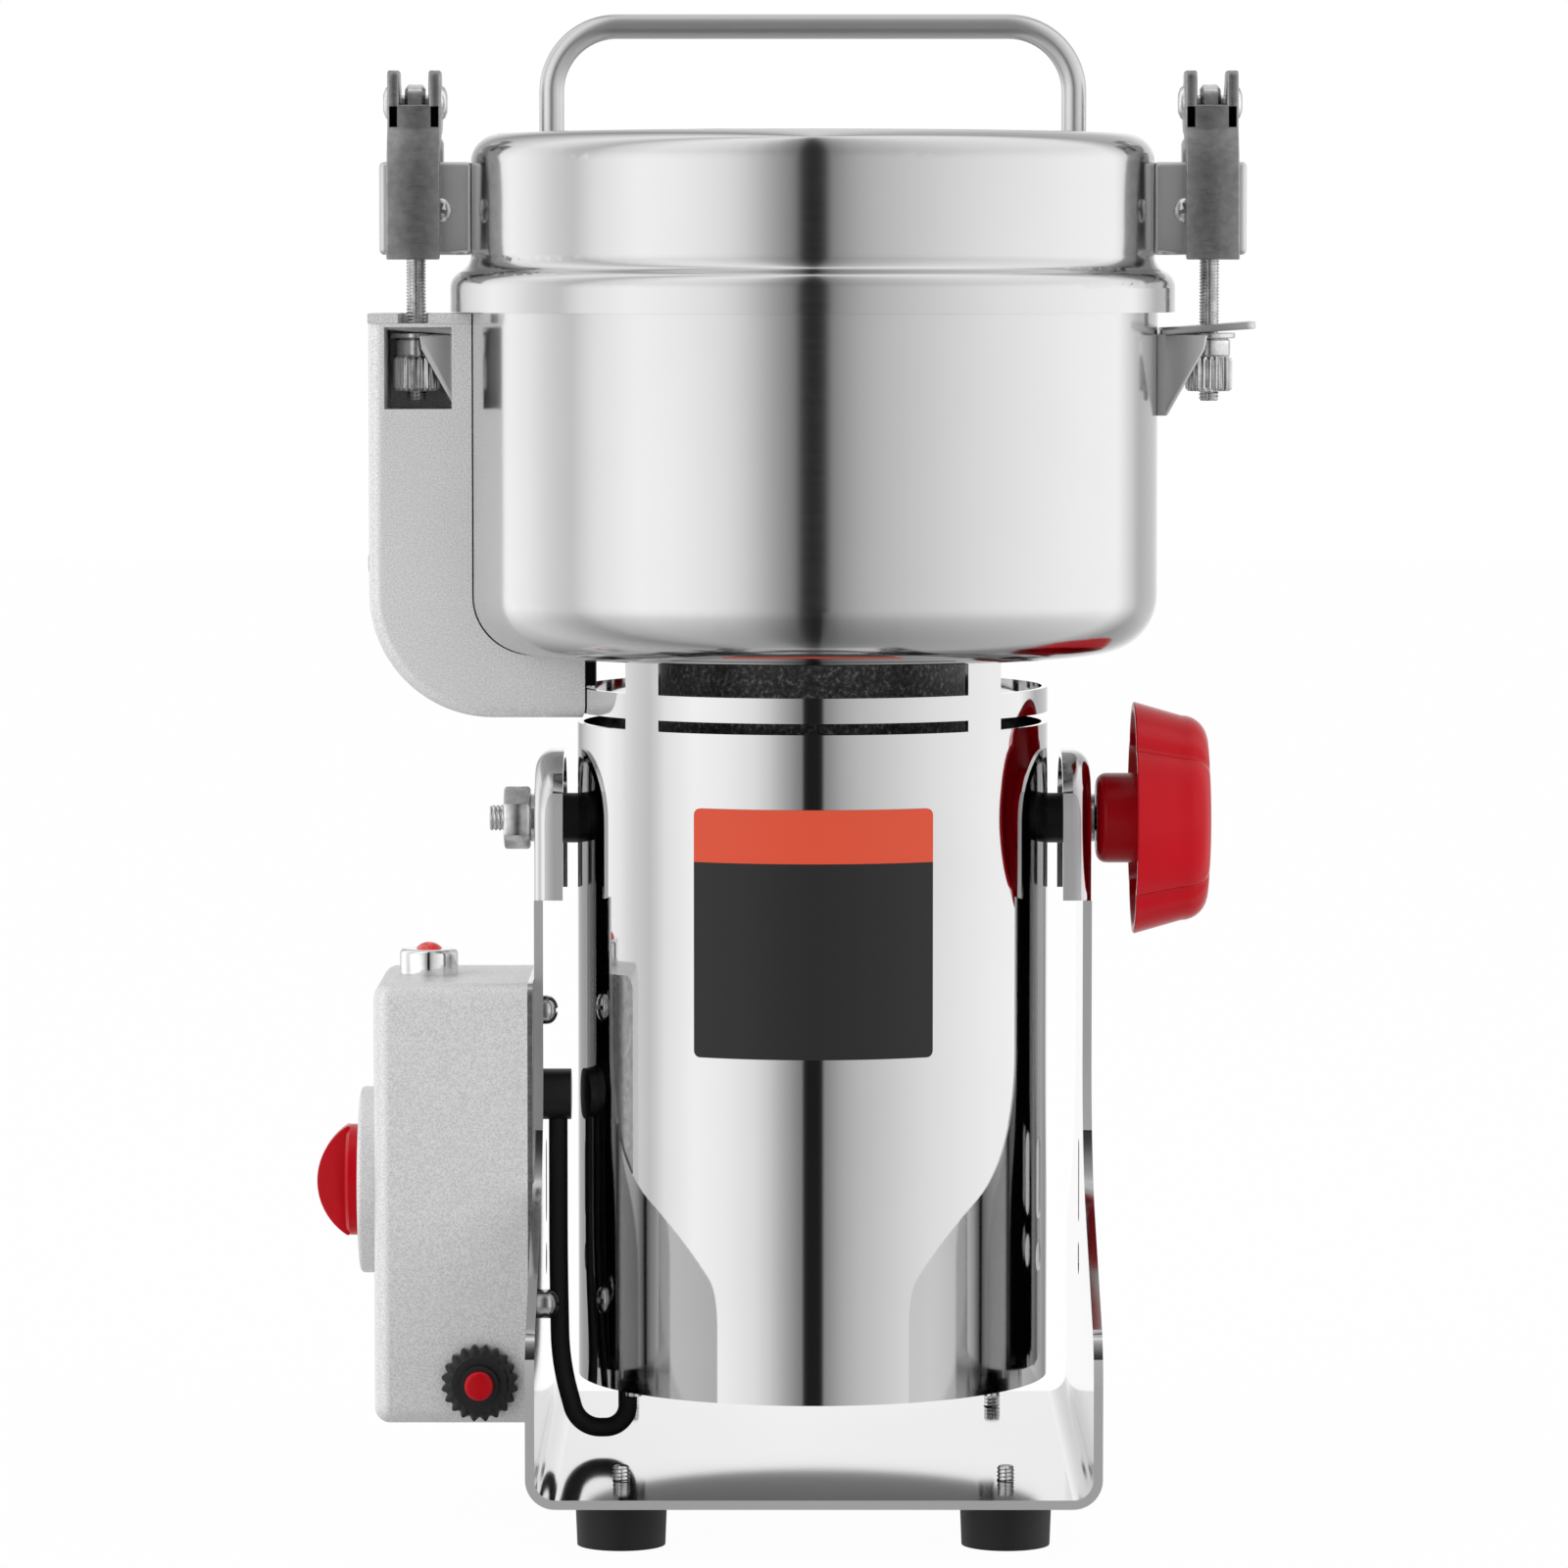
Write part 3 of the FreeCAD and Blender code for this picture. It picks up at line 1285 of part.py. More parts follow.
cap_low = d.guard_high - d.guard_cap
arm_end = d.tube_radius - d.guard_arm_sink
inner_bow = d.bowl_radius - d.guard_bowl_sink
guard_blank = padded(
    "XZ_Plane", guard_outline(0, inner_bow, arm_end, cap_low), 2 * d.guard_half_depth, (mid, 0, 0)
)
guard_hollow = padded(
    "XZ_Plane",
    guard_outline(d.guard_wall, inner_bow - d.guard_hollow_sink, arm_end - d.guard_arm_sink, cap_low),
    2 * (d.guard_half_depth - d.guard_wall), (mid, 0, 0),
)
window_cut = block(
    (mid - guard_reach + d.guard_window_frame, mid - d.bowl_radius - d.guard_window_gap),
    (-d.guard_half_depth, 0),
    (d.guard_window_low, d.guard_window_high),
)
tube_clear = rod(d.tube_radius + d.guard_gap, d.bowl_low, (mid, 0, 0))
guard_screw_hole = rod(
    d.clamp_screw_radius + fine_gap, d.guard_wall * 2, (mid - guard_reach, 0, d.guard_screw_level), "+x"
)
node(
    "guard_housing",
    cut(guard_blank, guard_hollow, window_cut, bowl_core(d.guard_gap), tube_clear, guard_screw_hole),
)
cap_blank = block(
    (mid - guard_reach, mid - inner_bow), (-d.guard_half_depth, d.guard_half_depth), (cap_low, d.guard_high)
)
notch_half = d.draw_bolt_radius + 1.2
cap_notch = block(
    (mid - clamp_offset - notch_half, mid - clamp_offset + notch_half),
    (-d.guard_half_depth, notch_half), (cap_low, d.guard_high),
)
cap_core = rod(d.bowl_radius + d.guard_gap, d.guard_cap, (mid, 0, cap_low))
node("guard_cap", cut(cap_blank, cap_notch, cap_core))
switch_left = mid - guard_reach + d.guard_wall
switch_half = d.grommet_half_depth
switch_block = block(
    (switch_left, switch_left + 2 * switch_half), (-switch_half, switch_half),
    (d.guard_screw_level - switch_half, d.guard_screw_level + 3 * switch_half),
)
screw_at = (mid - guard_reach, 0, d.guard_screw_level)
switch_bore = rod(d.clamp_screw_radius + fine_gap, d.guard_wall * 3, screw_at, "+x")
node("lid_switch", cut(switch_block, switch_bore))
guard_screw = fuse(
    rod(d.clamp_screw_head, 1, screw_at, "-x"), rod(d.clamp_screw_radius, d.guard_wall * 3, screw_at, "+x")
)
node("grinder_screws", group(clamp_screws(-1) + clamp_screws(1) + [guard_screw]))
grommet_low = d.band_high + d.guard_gap
grommet = block(
    (mid - d.tube_radius - 3, mid - tube_inner + 3), (-d.grommet_half_depth, d.grommet_half_depth),
    (grommet_low, arm_high - d.guard_wall - fine_gap),
)
node("guard_grommet", grommet)

# Blades: three crossed bars on the shaft, kept apart by spacers, under a nut.
blades = []
spacers = []
blade_bore = d.shaft_radius + 0.02
for index in range(3):
    level = d.blade_low + index * d.blade_pitch
    reach = d.blade_radius * (1 - d.blade_step * index)
    bar = block((-reach, reach), (-d.blade_width / 2, d.blade_width / 2), (0, d.blade_thickness))
    tip_round = rod(reach, d.blade_thickness, (0, 0, 0))
    tips = common(bar, tip_round)
    holder = doc.addObject("Part::Compound", "bar")
    holder.Links = [cut(tips, rod(blade_bore, d.blade_thickness, (0, 0, 0)))]
    turn = FreeCAD.Rotation(FreeCAD.Vector(0, 0, 1), 60.0 * index)
    blades.append(place(holder, (mid, 0, level), turn))
    if index:
        below = level - d.blade_pitch + d.blade_thickness
        spacer_height = d.blade_pitch - d.blade_thickness
        spacers.append(ring(d.blade_hub_radius, blade_bore, spacer_height, (mid, 0, below)))
below = floor_top + d.seal_height + 0.6
spacers.append(ring(d.blade_hub_radius, blade_bore, d.blade_low - below, (mid, 0, below)))
node("blades", group(blades))
nut_low = d.blade_low + 2 * d.blade_pitch + d.blade_thickness
blade_nut_body = hexagon(d.blade_hub_radius * 0.9, d.shaft_high - nut_low, (mid, 0, nut_low))
blade_nut_bore = rod(blade_bore, d.shaft_high - nut_low, (mid, 0, nut_low))
node("blade_fasteners", group(spacers + [cut(blade_nut_body, blade_nut_bore)]))


# Motor lead: from the gland down between leg and tube, then in a loop under the motor and up into its cover.
def tube_along(points, radius):
    corners = [FreeCAD.Vector(*[value.number for value in point]) for point in points]
    runs = [(b - a).Length for a, b in zip(corners, corners[1:])]
    edges = []
    start = corners[0]
    for index in range(1, len(corners) - 1):
        before = (corners[index] - corners[index - 1]).normalize()
        after = (corners[index + 1] - corners[index]).normalize()
        reach = 0.45 * min(runs[index - 1], runs[index])
        first = corners[index] - before * reach
        last = corners[index] + after * reach
        turn = before.getAngle(after)
        bend = reach / math.tan(turn / 2)
        inward = (after - before).normalize()
        centre = corners[index] + inward * (bend / math.cos(turn / 2))
        middle = centre - inward * bend
        edges.append(Part.LineSegment(start, first).toShape())
        edges.append(Part.Arc(first, middle, last).toShape())
        print("lead bend radius %.1f mm" % bend)
        start = last
    edges.append(Part.LineSegment(start, corners[-1]).toShape())
    path = Part.Wire(edges)
    circle = Part.Circle(corners[0], corners[1] - corners[0], radius)
    profile = Part.Wire([circle.toShape()])
    solid = path.makePipeShell([profile], True, False)
    share = solid.Volume / (math.pi * radius * radius * path.Length)
    print("lead length %.1f mm, volume share %.4f" % (path.Length, share))
    return solid


lead_top = d.gland_level - d.gland_radius / 3
loop_level = d.tube_low - d.lead_loop_drop
lead_front = control_y - d.lead_forward
lead_end = lead_x + d.lead_loop_end
lead_points = [
    (lead_x, control_y, lead_top),
    (lead_x, control_y, d.tube_low + d.lead_straight_end),
    (lead_x + d.lead_lean, lead_front, d.tube_low + d.lead_bend_end),
    (lead_x + d.lead_loop_start, control_y - d.lead_loop_forward, loop_level),
    (lead_end, lead_front, loop_level),
    (lead_end, lead_front, d.tube_low),
]
lead = doc.addObject("Part::Feature", "lead")
lead.Shape = tube_along(lead_points, d.lead_radius.number)
node("motor_lead", lead)

doc.recompute()
faults = []
for item in doc.Objects:
    if "Invalid" in item.State or "Error" in item.State:
        faults.append("%s (%s) is %s" % (item.Name, item.Label, item.State))
for label, item in nodes.items():
    shape = item.Shape
    if shape.isNull() or not shape.isValid() or not shape.Solids:
        faults.append("%s has no valid solid" % label)
if faults:
    raise SystemExit("\n".join(faults))

os.makedirs("parts", exist_ok=True)
for label, item in nodes.items():
    item.Shape.exportStep("parts/%s.step" % label)
    print("%-24s %2d solids %10.1f mm3" % (label, len(item.Shape.Solids), item.Shape.Volume))
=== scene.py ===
import json
from math import asin, atan2, cos, degrees, exp, pi, radians, sin, sqrt

import bmesh
import bpy
from mathutils import Matrix, Vector


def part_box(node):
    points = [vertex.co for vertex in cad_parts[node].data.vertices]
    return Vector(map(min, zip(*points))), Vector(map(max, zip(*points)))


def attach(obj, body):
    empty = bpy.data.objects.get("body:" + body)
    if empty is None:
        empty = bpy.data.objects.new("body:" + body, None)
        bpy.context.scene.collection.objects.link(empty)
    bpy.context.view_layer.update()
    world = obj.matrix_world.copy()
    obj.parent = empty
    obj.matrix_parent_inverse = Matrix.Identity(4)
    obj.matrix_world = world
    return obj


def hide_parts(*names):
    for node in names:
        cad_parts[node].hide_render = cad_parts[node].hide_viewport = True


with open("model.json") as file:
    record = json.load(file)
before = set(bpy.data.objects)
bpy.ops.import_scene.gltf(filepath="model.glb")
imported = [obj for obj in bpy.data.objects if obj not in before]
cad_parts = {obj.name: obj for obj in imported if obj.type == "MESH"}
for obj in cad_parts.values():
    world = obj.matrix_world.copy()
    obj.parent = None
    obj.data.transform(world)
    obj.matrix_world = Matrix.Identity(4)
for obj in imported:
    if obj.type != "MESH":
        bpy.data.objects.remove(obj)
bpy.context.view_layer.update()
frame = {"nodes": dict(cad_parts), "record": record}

mm = 0.001
nodes = frame["nodes"]
scene = bpy.context.scene
rootCollection = scene.collection
print("frame loaded:", len(nodes), "nodes")


# Camera: the photograph's view, a long lens a little above the lid, tipped slightly down.
photoView = {
    "place": (0.0, -1.795, 0.3025),
    "tipDegrees": 85.996,
    "lens": 168.75,
    "sensor": 36.0,
    "clipEnd": 50.0,
}


def makeCamera(values):
    data = bpy.data.cameras.new("photoCamera")
    data.lens = values["lens"]
    data.sensor_width = values["sensor"]
    data.clip_end = values["clipEnd"]
    camera = bpy.data.objects.new("photoCamera", data)
    camera.location = values["place"]
    camera.rotation_euler = (radians(values["tipDegrees"]), 0, 0)
    rootCollection.objects.link(camera)
    scene.camera = camera


makeCamera(photoView)
print("camera placed")


# Shader maths written as plain expressions on sockets.
class Wire:
    def __init__(self, tree, socket):
        self.tree = tree
        self.socket = socket

    def maths(self, operation, *others):
        made = self.tree.nodes.new("ShaderNodeMath")
        made.operation = operation
        for slotIndex, value in enumerate((self,) + others):
            if isinstance(value, Wire):
                self.tree.links.new(value.socket, made.inputs[slotIndex])
            else:
                made.inputs[slotIndex].default_value = value
        return Wire(self.tree, made.outputs[0])

    def flipped(self, operation, other):
        made = self.tree.nodes.new("ShaderNodeMath")
        made.operation = operation
        made.inputs[0].default_value = other
        self.tree.links.new(self.socket, made.inputs[1])
        return Wire(self.tree, made.outputs[0])

    def __add__(self, other):
        return self.maths("ADD", other)

    __radd__ = __add__

    def __sub__(self, other):
        return self.maths("SUBTRACT", other)

    def __rsub__(self, other):
        return self.flipped("SUBTRACT", other)

    def __mul__(self, other):
        return self.maths("MULTIPLY", other)

    __rmul__ = __mul__

    def __truediv__(self, other):
        return self.maths("DIVIDE", other)

    def __rtruediv__(self, other):
        return self.flipped("DIVIDE", other)

    def __neg__(self):
        return self.flipped("SUBTRACT", 0.0)

    def __lt__(self, other):
        return self.maths("LESS_THAN", other)

    def __gt__(self, other):
        return self.maths("GREATER_THAN", other)

    def __abs__(self):
        return self.maths("ABSOLUTE")


class Shader:
    def __init__(self, owner):
        owner.use_nodes = True
        self.tree = owner.node_tree
        self.tree.nodes.clear()

    # Any node: its type, its settings first, then the values or links of its sockets.
    def node(self, kind, settings=None, output=0, **sockets):
        made = self.tree.nodes.new(kind)
        for name, value in (settings or {}).items():
            if name == "stops":
                self.setStops(made.color_ramp, value)
            else:
                setattr(made, name, value)
        for name, value in sockets.items():
            plug = self.plug(made, name)
            if isinstance(value, Wire):
                self.tree.links.new(value.socket, plug)
            else:
                plug.default_value = value
        return Wire(self.tree, made.outputs[output])

    def plug(self, made, name):
        if name.startswith("input"):
            return made.inputs[int(name[5:])]
        for socket in made.inputs:
            if socket.name.replace(" ", "").lower() == name.lower():
                return socket
        raise KeyError(name)

    def setStops(self, ramp, stops):
        while len(ramp.elements) < len(stops):
            ramp.elements.new(0.5)
        for element, (place, colour) in zip(ramp.elements, stops):
            element.position = place
            element.color = colour if len(colour) == 4 else (*colour, 1.0)

    def place(self):
        return self.node("ShaderNodeTexCoord", output=3)

    def axes(self, vector):
        split = self.tree.nodes.new("ShaderNodeSeparateXYZ")
        self.tree.links.new(vector.socket, split.inputs[0])
        return [Wire(self.tree, out) for out in split.outputs]

    def stretched(self, scales):
        return self.node("ShaderNodeMapping", Vector=self.place(), Scale=scales)

    def noise(self, scale, detail=2.0, roughness=0.5, vector=None):
        return self.node(
            "ShaderNodeTexNoise", Vector=vector or self.place(),
            Scale=scale, Detail=detail, Roughness=roughness,
        )

    def ramp(self, factor, stops):
        return self.node("ShaderNodeValToRGB", {"stops": stops}, Fac=factor)

    def greys(self, factor, *stops):
        return self.ramp(factor, [(place, grey(value)) for place, value in stops])

    def principled(self, **sockets):
        return self.node("ShaderNodeBsdfPrincipled", **sockets)

    def blendColours(self, factor, first, second):
        return self.node(
            "ShaderNodeMix", {"data_type": "RGBA"}, output=2, input0=factor, input6=first, input7=second
        )

    def finish(self, shader, target="ShaderNodeOutputMaterial"):
        out = self.tree.nodes.new(target)
        self.tree.links.new(shader.socket, out.inputs["Surface"])


def grey(value):
    return (value, value, value, 1.0)


def makeSurface(name, build):
    material = bpy.data.materials.new(name)
    shader = Shader(material)
    shader.finish(build(shader))
    return material


# Finishes.
steel = {
    "colour": 0.66,
    "deeper": 0.05,
    "lineScale": 900.0,
    "lineAcross": 6.0,
    "lineBump": 0.00002,
    "smearScale": 9.0,
    "edgeFacing": 0.9,
}


# The sheet's cut edges, which face front and back, are rougher where edgeRough is given.
def polishedSteel(lineStrength, roughLow, roughHigh, edgeRough=None):
    def build(shader):
        across = steel["lineAcross"]
        lines = shader.noise(1.0, 3.0, 0.6, shader.stretched((across, across, steel["lineScale"])))
        smears = shader.noise(steel["smearScale"], 4.0, 0.55)
        rough = roughLow + (roughHigh - roughLow) * (smears * 0.5 + lines * 0.5)
        if edgeRough:
            facing = abs(shader.axes(shader.node("ShaderNodeNewGeometry", output=1))[1])
            rough = rough + (facing > steel["edgeFacing"]) * edgeRough
        tint = shader.greys(smears, (0.25, steel["colour"] - steel["deeper"]), (0.8, steel["colour"]))
        bump = shader.node(
            "ShaderNodeBump", Strength=lineStrength, Distance=steel["lineBump"], Height=lines
        )
        return shader.principled(BaseColor=tint, Metallic=1.0, Roughness=rough, Normal=bump)
    return build


paint = {
    "light": 0.79,
    "dark": 0.66,
    "bright": 0.88,
    "speckleScale": 2600.0,
    "cloudScale": 60.0,
    "metal": 0.35,
    "rough": 0.42,
    "roughSpread": 0.12,
    "bump": 0.00006,
}


def speckledPaint(shader):
    grains = shader.noise(paint["speckleScale"], 1.0, 0.5)
    clouds = shader.noise(paint["cloudScale"], 3.0, 0.5)
    tone = shader.greys(grains, (0.36, paint["dark"]), (0.52, paint["light"]), (0.72, paint["bright"]))
    rough = paint["rough"] + (clouds - 0.5) * paint["roughSpread"]
    bump = shader.node("ShaderNodeBump", Strength=0.35, Distance=paint["bump"], Height=grains)
    return shader.principled(BaseColor=tone, Metallic=paint["metal"], Roughness=rough, Normal=bump)


plating = {
    "patchScale": 420.0,
    "scratchAcross": 300.0,
    "scratchScale": 2400.0,
    "roughSpread": 0.16,
    "bump": 0.00003,
}


def platedSteel(light, dark, roughness):
    def build(shader):
        across = plating["scratchAcross"]
        patches = shader.noise(plating["patchScale"], 4.0, 0.6)
        stretch = shader.stretched((across, across, plating["scratchScale"]))
        scratches = shader.noise(1.0, 2.0, 0.6, stretch)
        tone = shader.greys(patches, (0.3, dark), (0.7, light))
        rough = roughness + (scratches - 0.5) * plating["roughSpread"]
        bump = shader.node("ShaderNodeBump", Strength=0.3, Distance=plating["bump"], Height=scratches)
        return shader.principled(BaseColor=tone, Metallic=1.0, Roughness=rough, Normal=bump)
    return build


plastic = {
    "swirlScale": 35.0,
    "grainScale": 1800.0,
    "roughSpread": 0.08,
    "bump": 0.00004,
}


def mouldedPlastic(colour, deep, roughness, gloss):
    def build(shader):
        swirl = shader.noise(plastic["swirlScale"], 3.0, 0.5)
        grain = shader.noise(plastic["grainScale"], 2.0, 0.5)
        tone = shader.ramp(swirl, [(0.25, deep), (0.75, colour)])
        rough = roughness + (grain - 0.5) * plastic["roughSpread"]
        bump = shader.node("ShaderNodeBump", Strength=0.12, Distance=plastic["bump"], Height=grain)
        return shader.principled(BaseColor=tone, Roughness=rough, Normal=bump, SpecularIORLevel=gloss)
    return build


casting = {
    "grainScale": 900.0,
    "metal": 0.6,
    "rough": 0.55,
    "roughSpread": 0.3,
    "bump": 0.00012,
}


def castMetal(shader):
    grains = shader.noise(casting["grainScale"], 3.0, 0.65)
    tone = shader.greys(grains, (0.35, 0.035), (0.55, 0.11), (0.72, 0.42))
    rough = casting["rough"] + (grains - 0.5) * casting["roughSpread"]
    bump = shader.node("ShaderNodeBump", Strength=0.6, Distance=casting["bump"], Height=grains)
    return shader.principled(BaseColor=tone, Metallic=casting["metal"], Roughness=rough, Normal=bump)


winding = {
    "across": 40.0,
    "turnScale": 1600.0,
    "dark": (0.35, 0.13, 0.05),
    "light": (0.85, 0.42, 0.22),
    "rough": 0.35,
    "roughSpread": 0.1,
}


def copperWire(shader):
    across = winding["across"]
    turns = shader.noise(1.0, 2.0, 0.5, shader.stretched((across, across, winding["turnScale"])))
    tone = shader.ramp(turns, [(0.3, winding["dark"]), (0.7, winding["light"])])
    rough = winding["rough"] + turns * winding["roughSpread"]
    return shader.principled(BaseColor=tone, Metallic=1.0, Roughness=rough)


labelFilm = {
    "bandColour": (0.72, 0.085, 0.040, 1.0),
    "fieldColour": (0.020, 0.020, 0.021, 1.0),
    "bandShare": 0.785,
    "fleckScale": 1500.0,
    "rough": 0.42,
    "roughSpread": 0.1,
    "gloss": 0.25,
}


def printedFilm(low, high):
    def build(shader):
        up = shader.axes(shader.place())[2]
        share = (up - low) / (high - low)
        band = share > labelFilm["bandShare"]
        fleck = shader.noise(labelFilm["fleckScale"], 2.0, 0.5)
        tone = shader.blendColours(band, labelFilm["fieldColour"], labelFilm["bandColour"])
        rough = labelFilm["rough"] + (fleck - 0.5) * labelFilm["roughSpread"]
        return shader.principled(BaseColor=tone, Roughness=rough, SpecularIORLevel=labelFilm["gloss"])
    return build


lens = {
    "depthScale": 260.0,
    "dark": (0.55, 0.01, 0.01),
    "light": (0.9, 0.03, 0.02),
    "rough": 0.12,
    "roughSpread": 0.04,
    "coatRough": 0.03,
    # glow is a painted glow: emission that makes the red lens look lit
    "glow": 0.12,
}


def redGlass(shader):
    depth = shader.noise(lens["depthScale"], 2.0, 0.5)
    tone = shader.ramp(depth, [(0.3, lens["dark"]), (0.7, lens["light"])])
    # The faint emission is a painted glow that makes the red lens look lit; it is no lamp.
    return shader.node(
        "ShaderNodeBsdfPrincipled", BaseColor=tone, Roughness=lens["rough"] + depth * lens["roughSpread"],
        CoatWeight=1.0, CoatRoughness=lens["coatRough"], EmissionColor=tone, EmissionStrength=lens["glow"],
    )


labelLow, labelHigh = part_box("rating_plate")
surfaceBuilders = {
    "bowlSteel": polishedSteel(0.5, 0.09, 0.16),
    "mirrorSteel": polishedSteel(0.12, 0.03, 0.07),
    "cradleSteel": polishedSteel(0.12, 0.05, 0.10, 0.5),
    "handleSteel": polishedSteel(0.25, 0.26, 0.36),
    "bracketSteel": polishedSteel(0.4, 0.26, 0.38),
    "speckledPaint": speckledPaint,
    "brightPlating": platedSteel(0.80, 0.55, 0.20),
    "darkPlating": platedSteel(0.38, 0.27, 0.30),
    "bezelChrome": platedSteel(0.88, 0.78, 0.07),
    "redPlastic": mouldedPlastic((0.60, 0.001, 0.010, 1.0), (0.47, 0.001, 0.007, 1.0), 0.22, 0.22),
    "blackPlastic": mouldedPlastic(grey(0.018), grey(0.010), 0.42, 0.4),
    "blackRubber": mouldedPlastic(grey(0.016), grey(0.009), 0.60, 0.35),
    "blackPaint": mouldedPlastic(grey(0.03), grey(0.018), 0.4, 0.5),
    "castMetal": castMetal,
    "copperWire": copperWire,
    "redLens": redGlass,
    "printedFilm": printedFilm(labelLow.z, labelHigh.z),
}
surfaces = {name: makeSurface(name, build) for name, build in surfaceBuilders.items()}
finishOfSlot = {
    "polished_steel": "bowlSteel",
    "grey_paint": "speckledPaint",
    "zinc_steel": "brightPlating",
    "lever_steel": "darkPlating",
    "bezel_chrome": "bezelChrome",
    "black_rubber": "blackRubber",
    "red_plastic": "redPlastic",
    "red_lens": "redLens",
    "black_plastic": "blackPlastic",
    "cast_metal": "castMetal",
    "black_paint": "blackPaint",
    "copper": "copperWire",
    "label_film": "printedFilm",
}
finishOfNode = {
    "cradle_bracket": "cradleSteel",
    "motor_tube": "mirrorSteel",
    "lid_handle": "handleSteel",
    "bowl_hooks": "bracketSteel",
    "clamp_brackets": "bracketSteel",
}


def dressNodes():
    for part in frame["record"]["subparts"]:
        surface = surfaces[finishOfNode.get(part["node"], finishOfSlot[part["material_slot"]])]
        piece = nodes[part["node"]]
        piece.data.materials.clear()
        piece.data.materials.append(surface)


dressNodes()
print("finishes made:", len(surfaces))


# Mesh helpers. Every shape is made around its own +Z, then set in the frame.
# A flat outline stands across X from (y, z), or across Y from (x, z).
standing = Matrix(((0, 0, 1, 0), (1, 0, 0, 0), (0, 1, 0, 0), (0, 0, 0, 1)))
facingFront = Matrix(((1, 0, 0, 0), (0, 0, -1, 0), (0, 1, 0, 0), (0, 0, 0, 1)))
axisTurns = {
    "+x": Matrix.Rotation(radians(90), 4, "Y"),
    "-x": Matrix.Rotation(radians(-90), 4, "Y"),
    "+y": Matrix.Rotation(radians(-90), 4, "X"),
    "-y": Matrix.Rotation(radians(90), 4, "X"),
    "+z": Matrix.Identity(4),
    "-z": Matrix.Rotation(radians(180), 4, "X"),
}


def moved(x, y=0.0, z=0.0):
    return Matrix.Translation(Vector((x, y, z)))


def placeAt(point, way="+z", turn=0.0):
    return moved(*point) @ axisTurns[way] @ Matrix.Rotation(radians(turn), 4, "Z")


def makeObject(name, points, faces, transform=None):
    data = bpy.data.meshes.new(name)
    data.from_pydata([tuple(Vector(p) * mm) for p in points], [], faces)
    if transform is not None:
        shift = transform.copy()
        shift.translation = transform.translation * mm
        data.transform(shift)
    made = bpy.data.objects.new(name, data)
    rootCollection.objects.link(made)
    work = bmesh.new()
    work.from_mesh(data)
    bmesh.ops.remove_doubles(work, verts=work.verts, dist=1e-7)
    bmesh.ops.recalc_face_normals(work, faces=work.faces)
    work.to_mesh(data)
    work.free()
    return made


# Rings of points joined in order. A closed stack joins its last ring to its first, an open one is capped.
def ringStack(name, rings, transform=None, closed=False):
    count = len(rings[0])
    points = [p for ringPoints in rings for p in ringPoints]
    faces = []
    levels = len(rings) if closed else len(rings) - 1
    for level in range(levels):
        below = level * count
        above = ((level + 1) % len(rings)) * count
        for index in range(count):
            after = (index + 1) % count
            faces.append((below + index, below + after, above + after, above + index))
    if not closed:
        faces.append(tuple(range(count))[::-1])
        top = (len(rings) - 1) * count
        faces.append(tuple(range(top, top + count)))
    return makeObject(name, points, faces, transform)


def lathe(name, profile, transform=None, segments=96, closed=False):
    rings = []
    for radius, height in profile:
        safe = max(radius, 0.001)
        rings.append([
            (safe * cos(a), safe * sin(a), height)
            for a in (2 * pi * i / segments for i in range(segments))
        ])
    return ringStack(name, rings, transform, closed)


def arcPoints(centre, radius, start, end, steps):
    return [
        (centre[0] + radius * cos(radians(a)), centre[1] + radius * sin(radians(a)))
        for a in (start + (end - start) * i / steps for i in range(steps + 1))
    ]


def mirrored(outline, sign):
    return [(sign * a, b) for a, b in outline]


# A washer's section, with its outer edges broken.
def washerProfile(bore, radius, low, high, edge=0.2):
    return [
        (bore, low), (radius - edge, low), (radius, low + edge),
        (radius, high - edge), (radius - edge, high), (bore, high),
    ]


# A flat outline, pushed along +Z by depth, half to each side.
def slab(name, outline, depth, transform=None):
    rings = [[(x, y, z) for x, y in outline] for z in (-depth / 2, depth / 2)]
    return ringStack(name, rings, transform)


def bevel(piece, width, segments):
    step = piece.modifiers.new("edges", "BEVEL")
    step.width = width * mm
    step.segments = segments
    step.limit_method = "ANGLE"
    step.angle_limit = radians(30)


def settle(piece):
    depsgraph = bpy.context.evaluated_depsgraph_get()
    fresh = bpy.data.meshes.new_from_object(piece.evaluated_get(depsgraph))
    piece.modifiers.clear()
    piece.data = fresh


def soften(piece, width, segments):
    bevel(piece, width, segments)
    settle(piece)


def carve(piece, cutters):
    for cutter in cutters:
        step = piece.modifiers.new("carve", "BOOLEAN")
        step.operation = "DIFFERENCE"
        step.solver = "EXACT"
        step.object = cutter
    settle(piece)
    for cutter in cutters:
        bpy.data.objects.remove(cutter)


def smooth(piece, angle=35):
    data = piece.data
    for face in data.polygons:
        face.use_smooth = True
    work = bmesh.new()
    work.from_mesh(data)
    limit = radians(angle)
    for edge in work.edges:
        if len(edge.link_faces) == 2 and edge.calc_face_angle(0.0) > limit:
            edge.smooth = False
    work.to_mesh(data)
    work.free()


def join(name, pieces):
    work = bmesh.new()
    for piece in pieces:
        work.from_mesh(piece.data)
    data = bpy.data.meshes.new(name)
    work.to_mesh(data)
    work.free()
    for piece in pieces:
        bpy.data.objects.remove(piece)
    made = bpy.data.objects.new(name, data)
    rootCollection.objects.link(made)
    return made


def hand(piece, body, replaced, finish, angle=35):
    if piece.modifiers:
        settle(piece)
    smooth(piece, angle)
    piece.data.materials.clear()
    piece.data.materials.append(surfaces[finish])
    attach(piece, body)
    for name in replaced:
        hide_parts(name)
    return piece


# A threaded rod with one start: a plain stretch first, the crest at the stated radius, chamfered ends.
threadShape = {
    "stepsPerTurn": 8,
    "chamfer": 0.5,
}


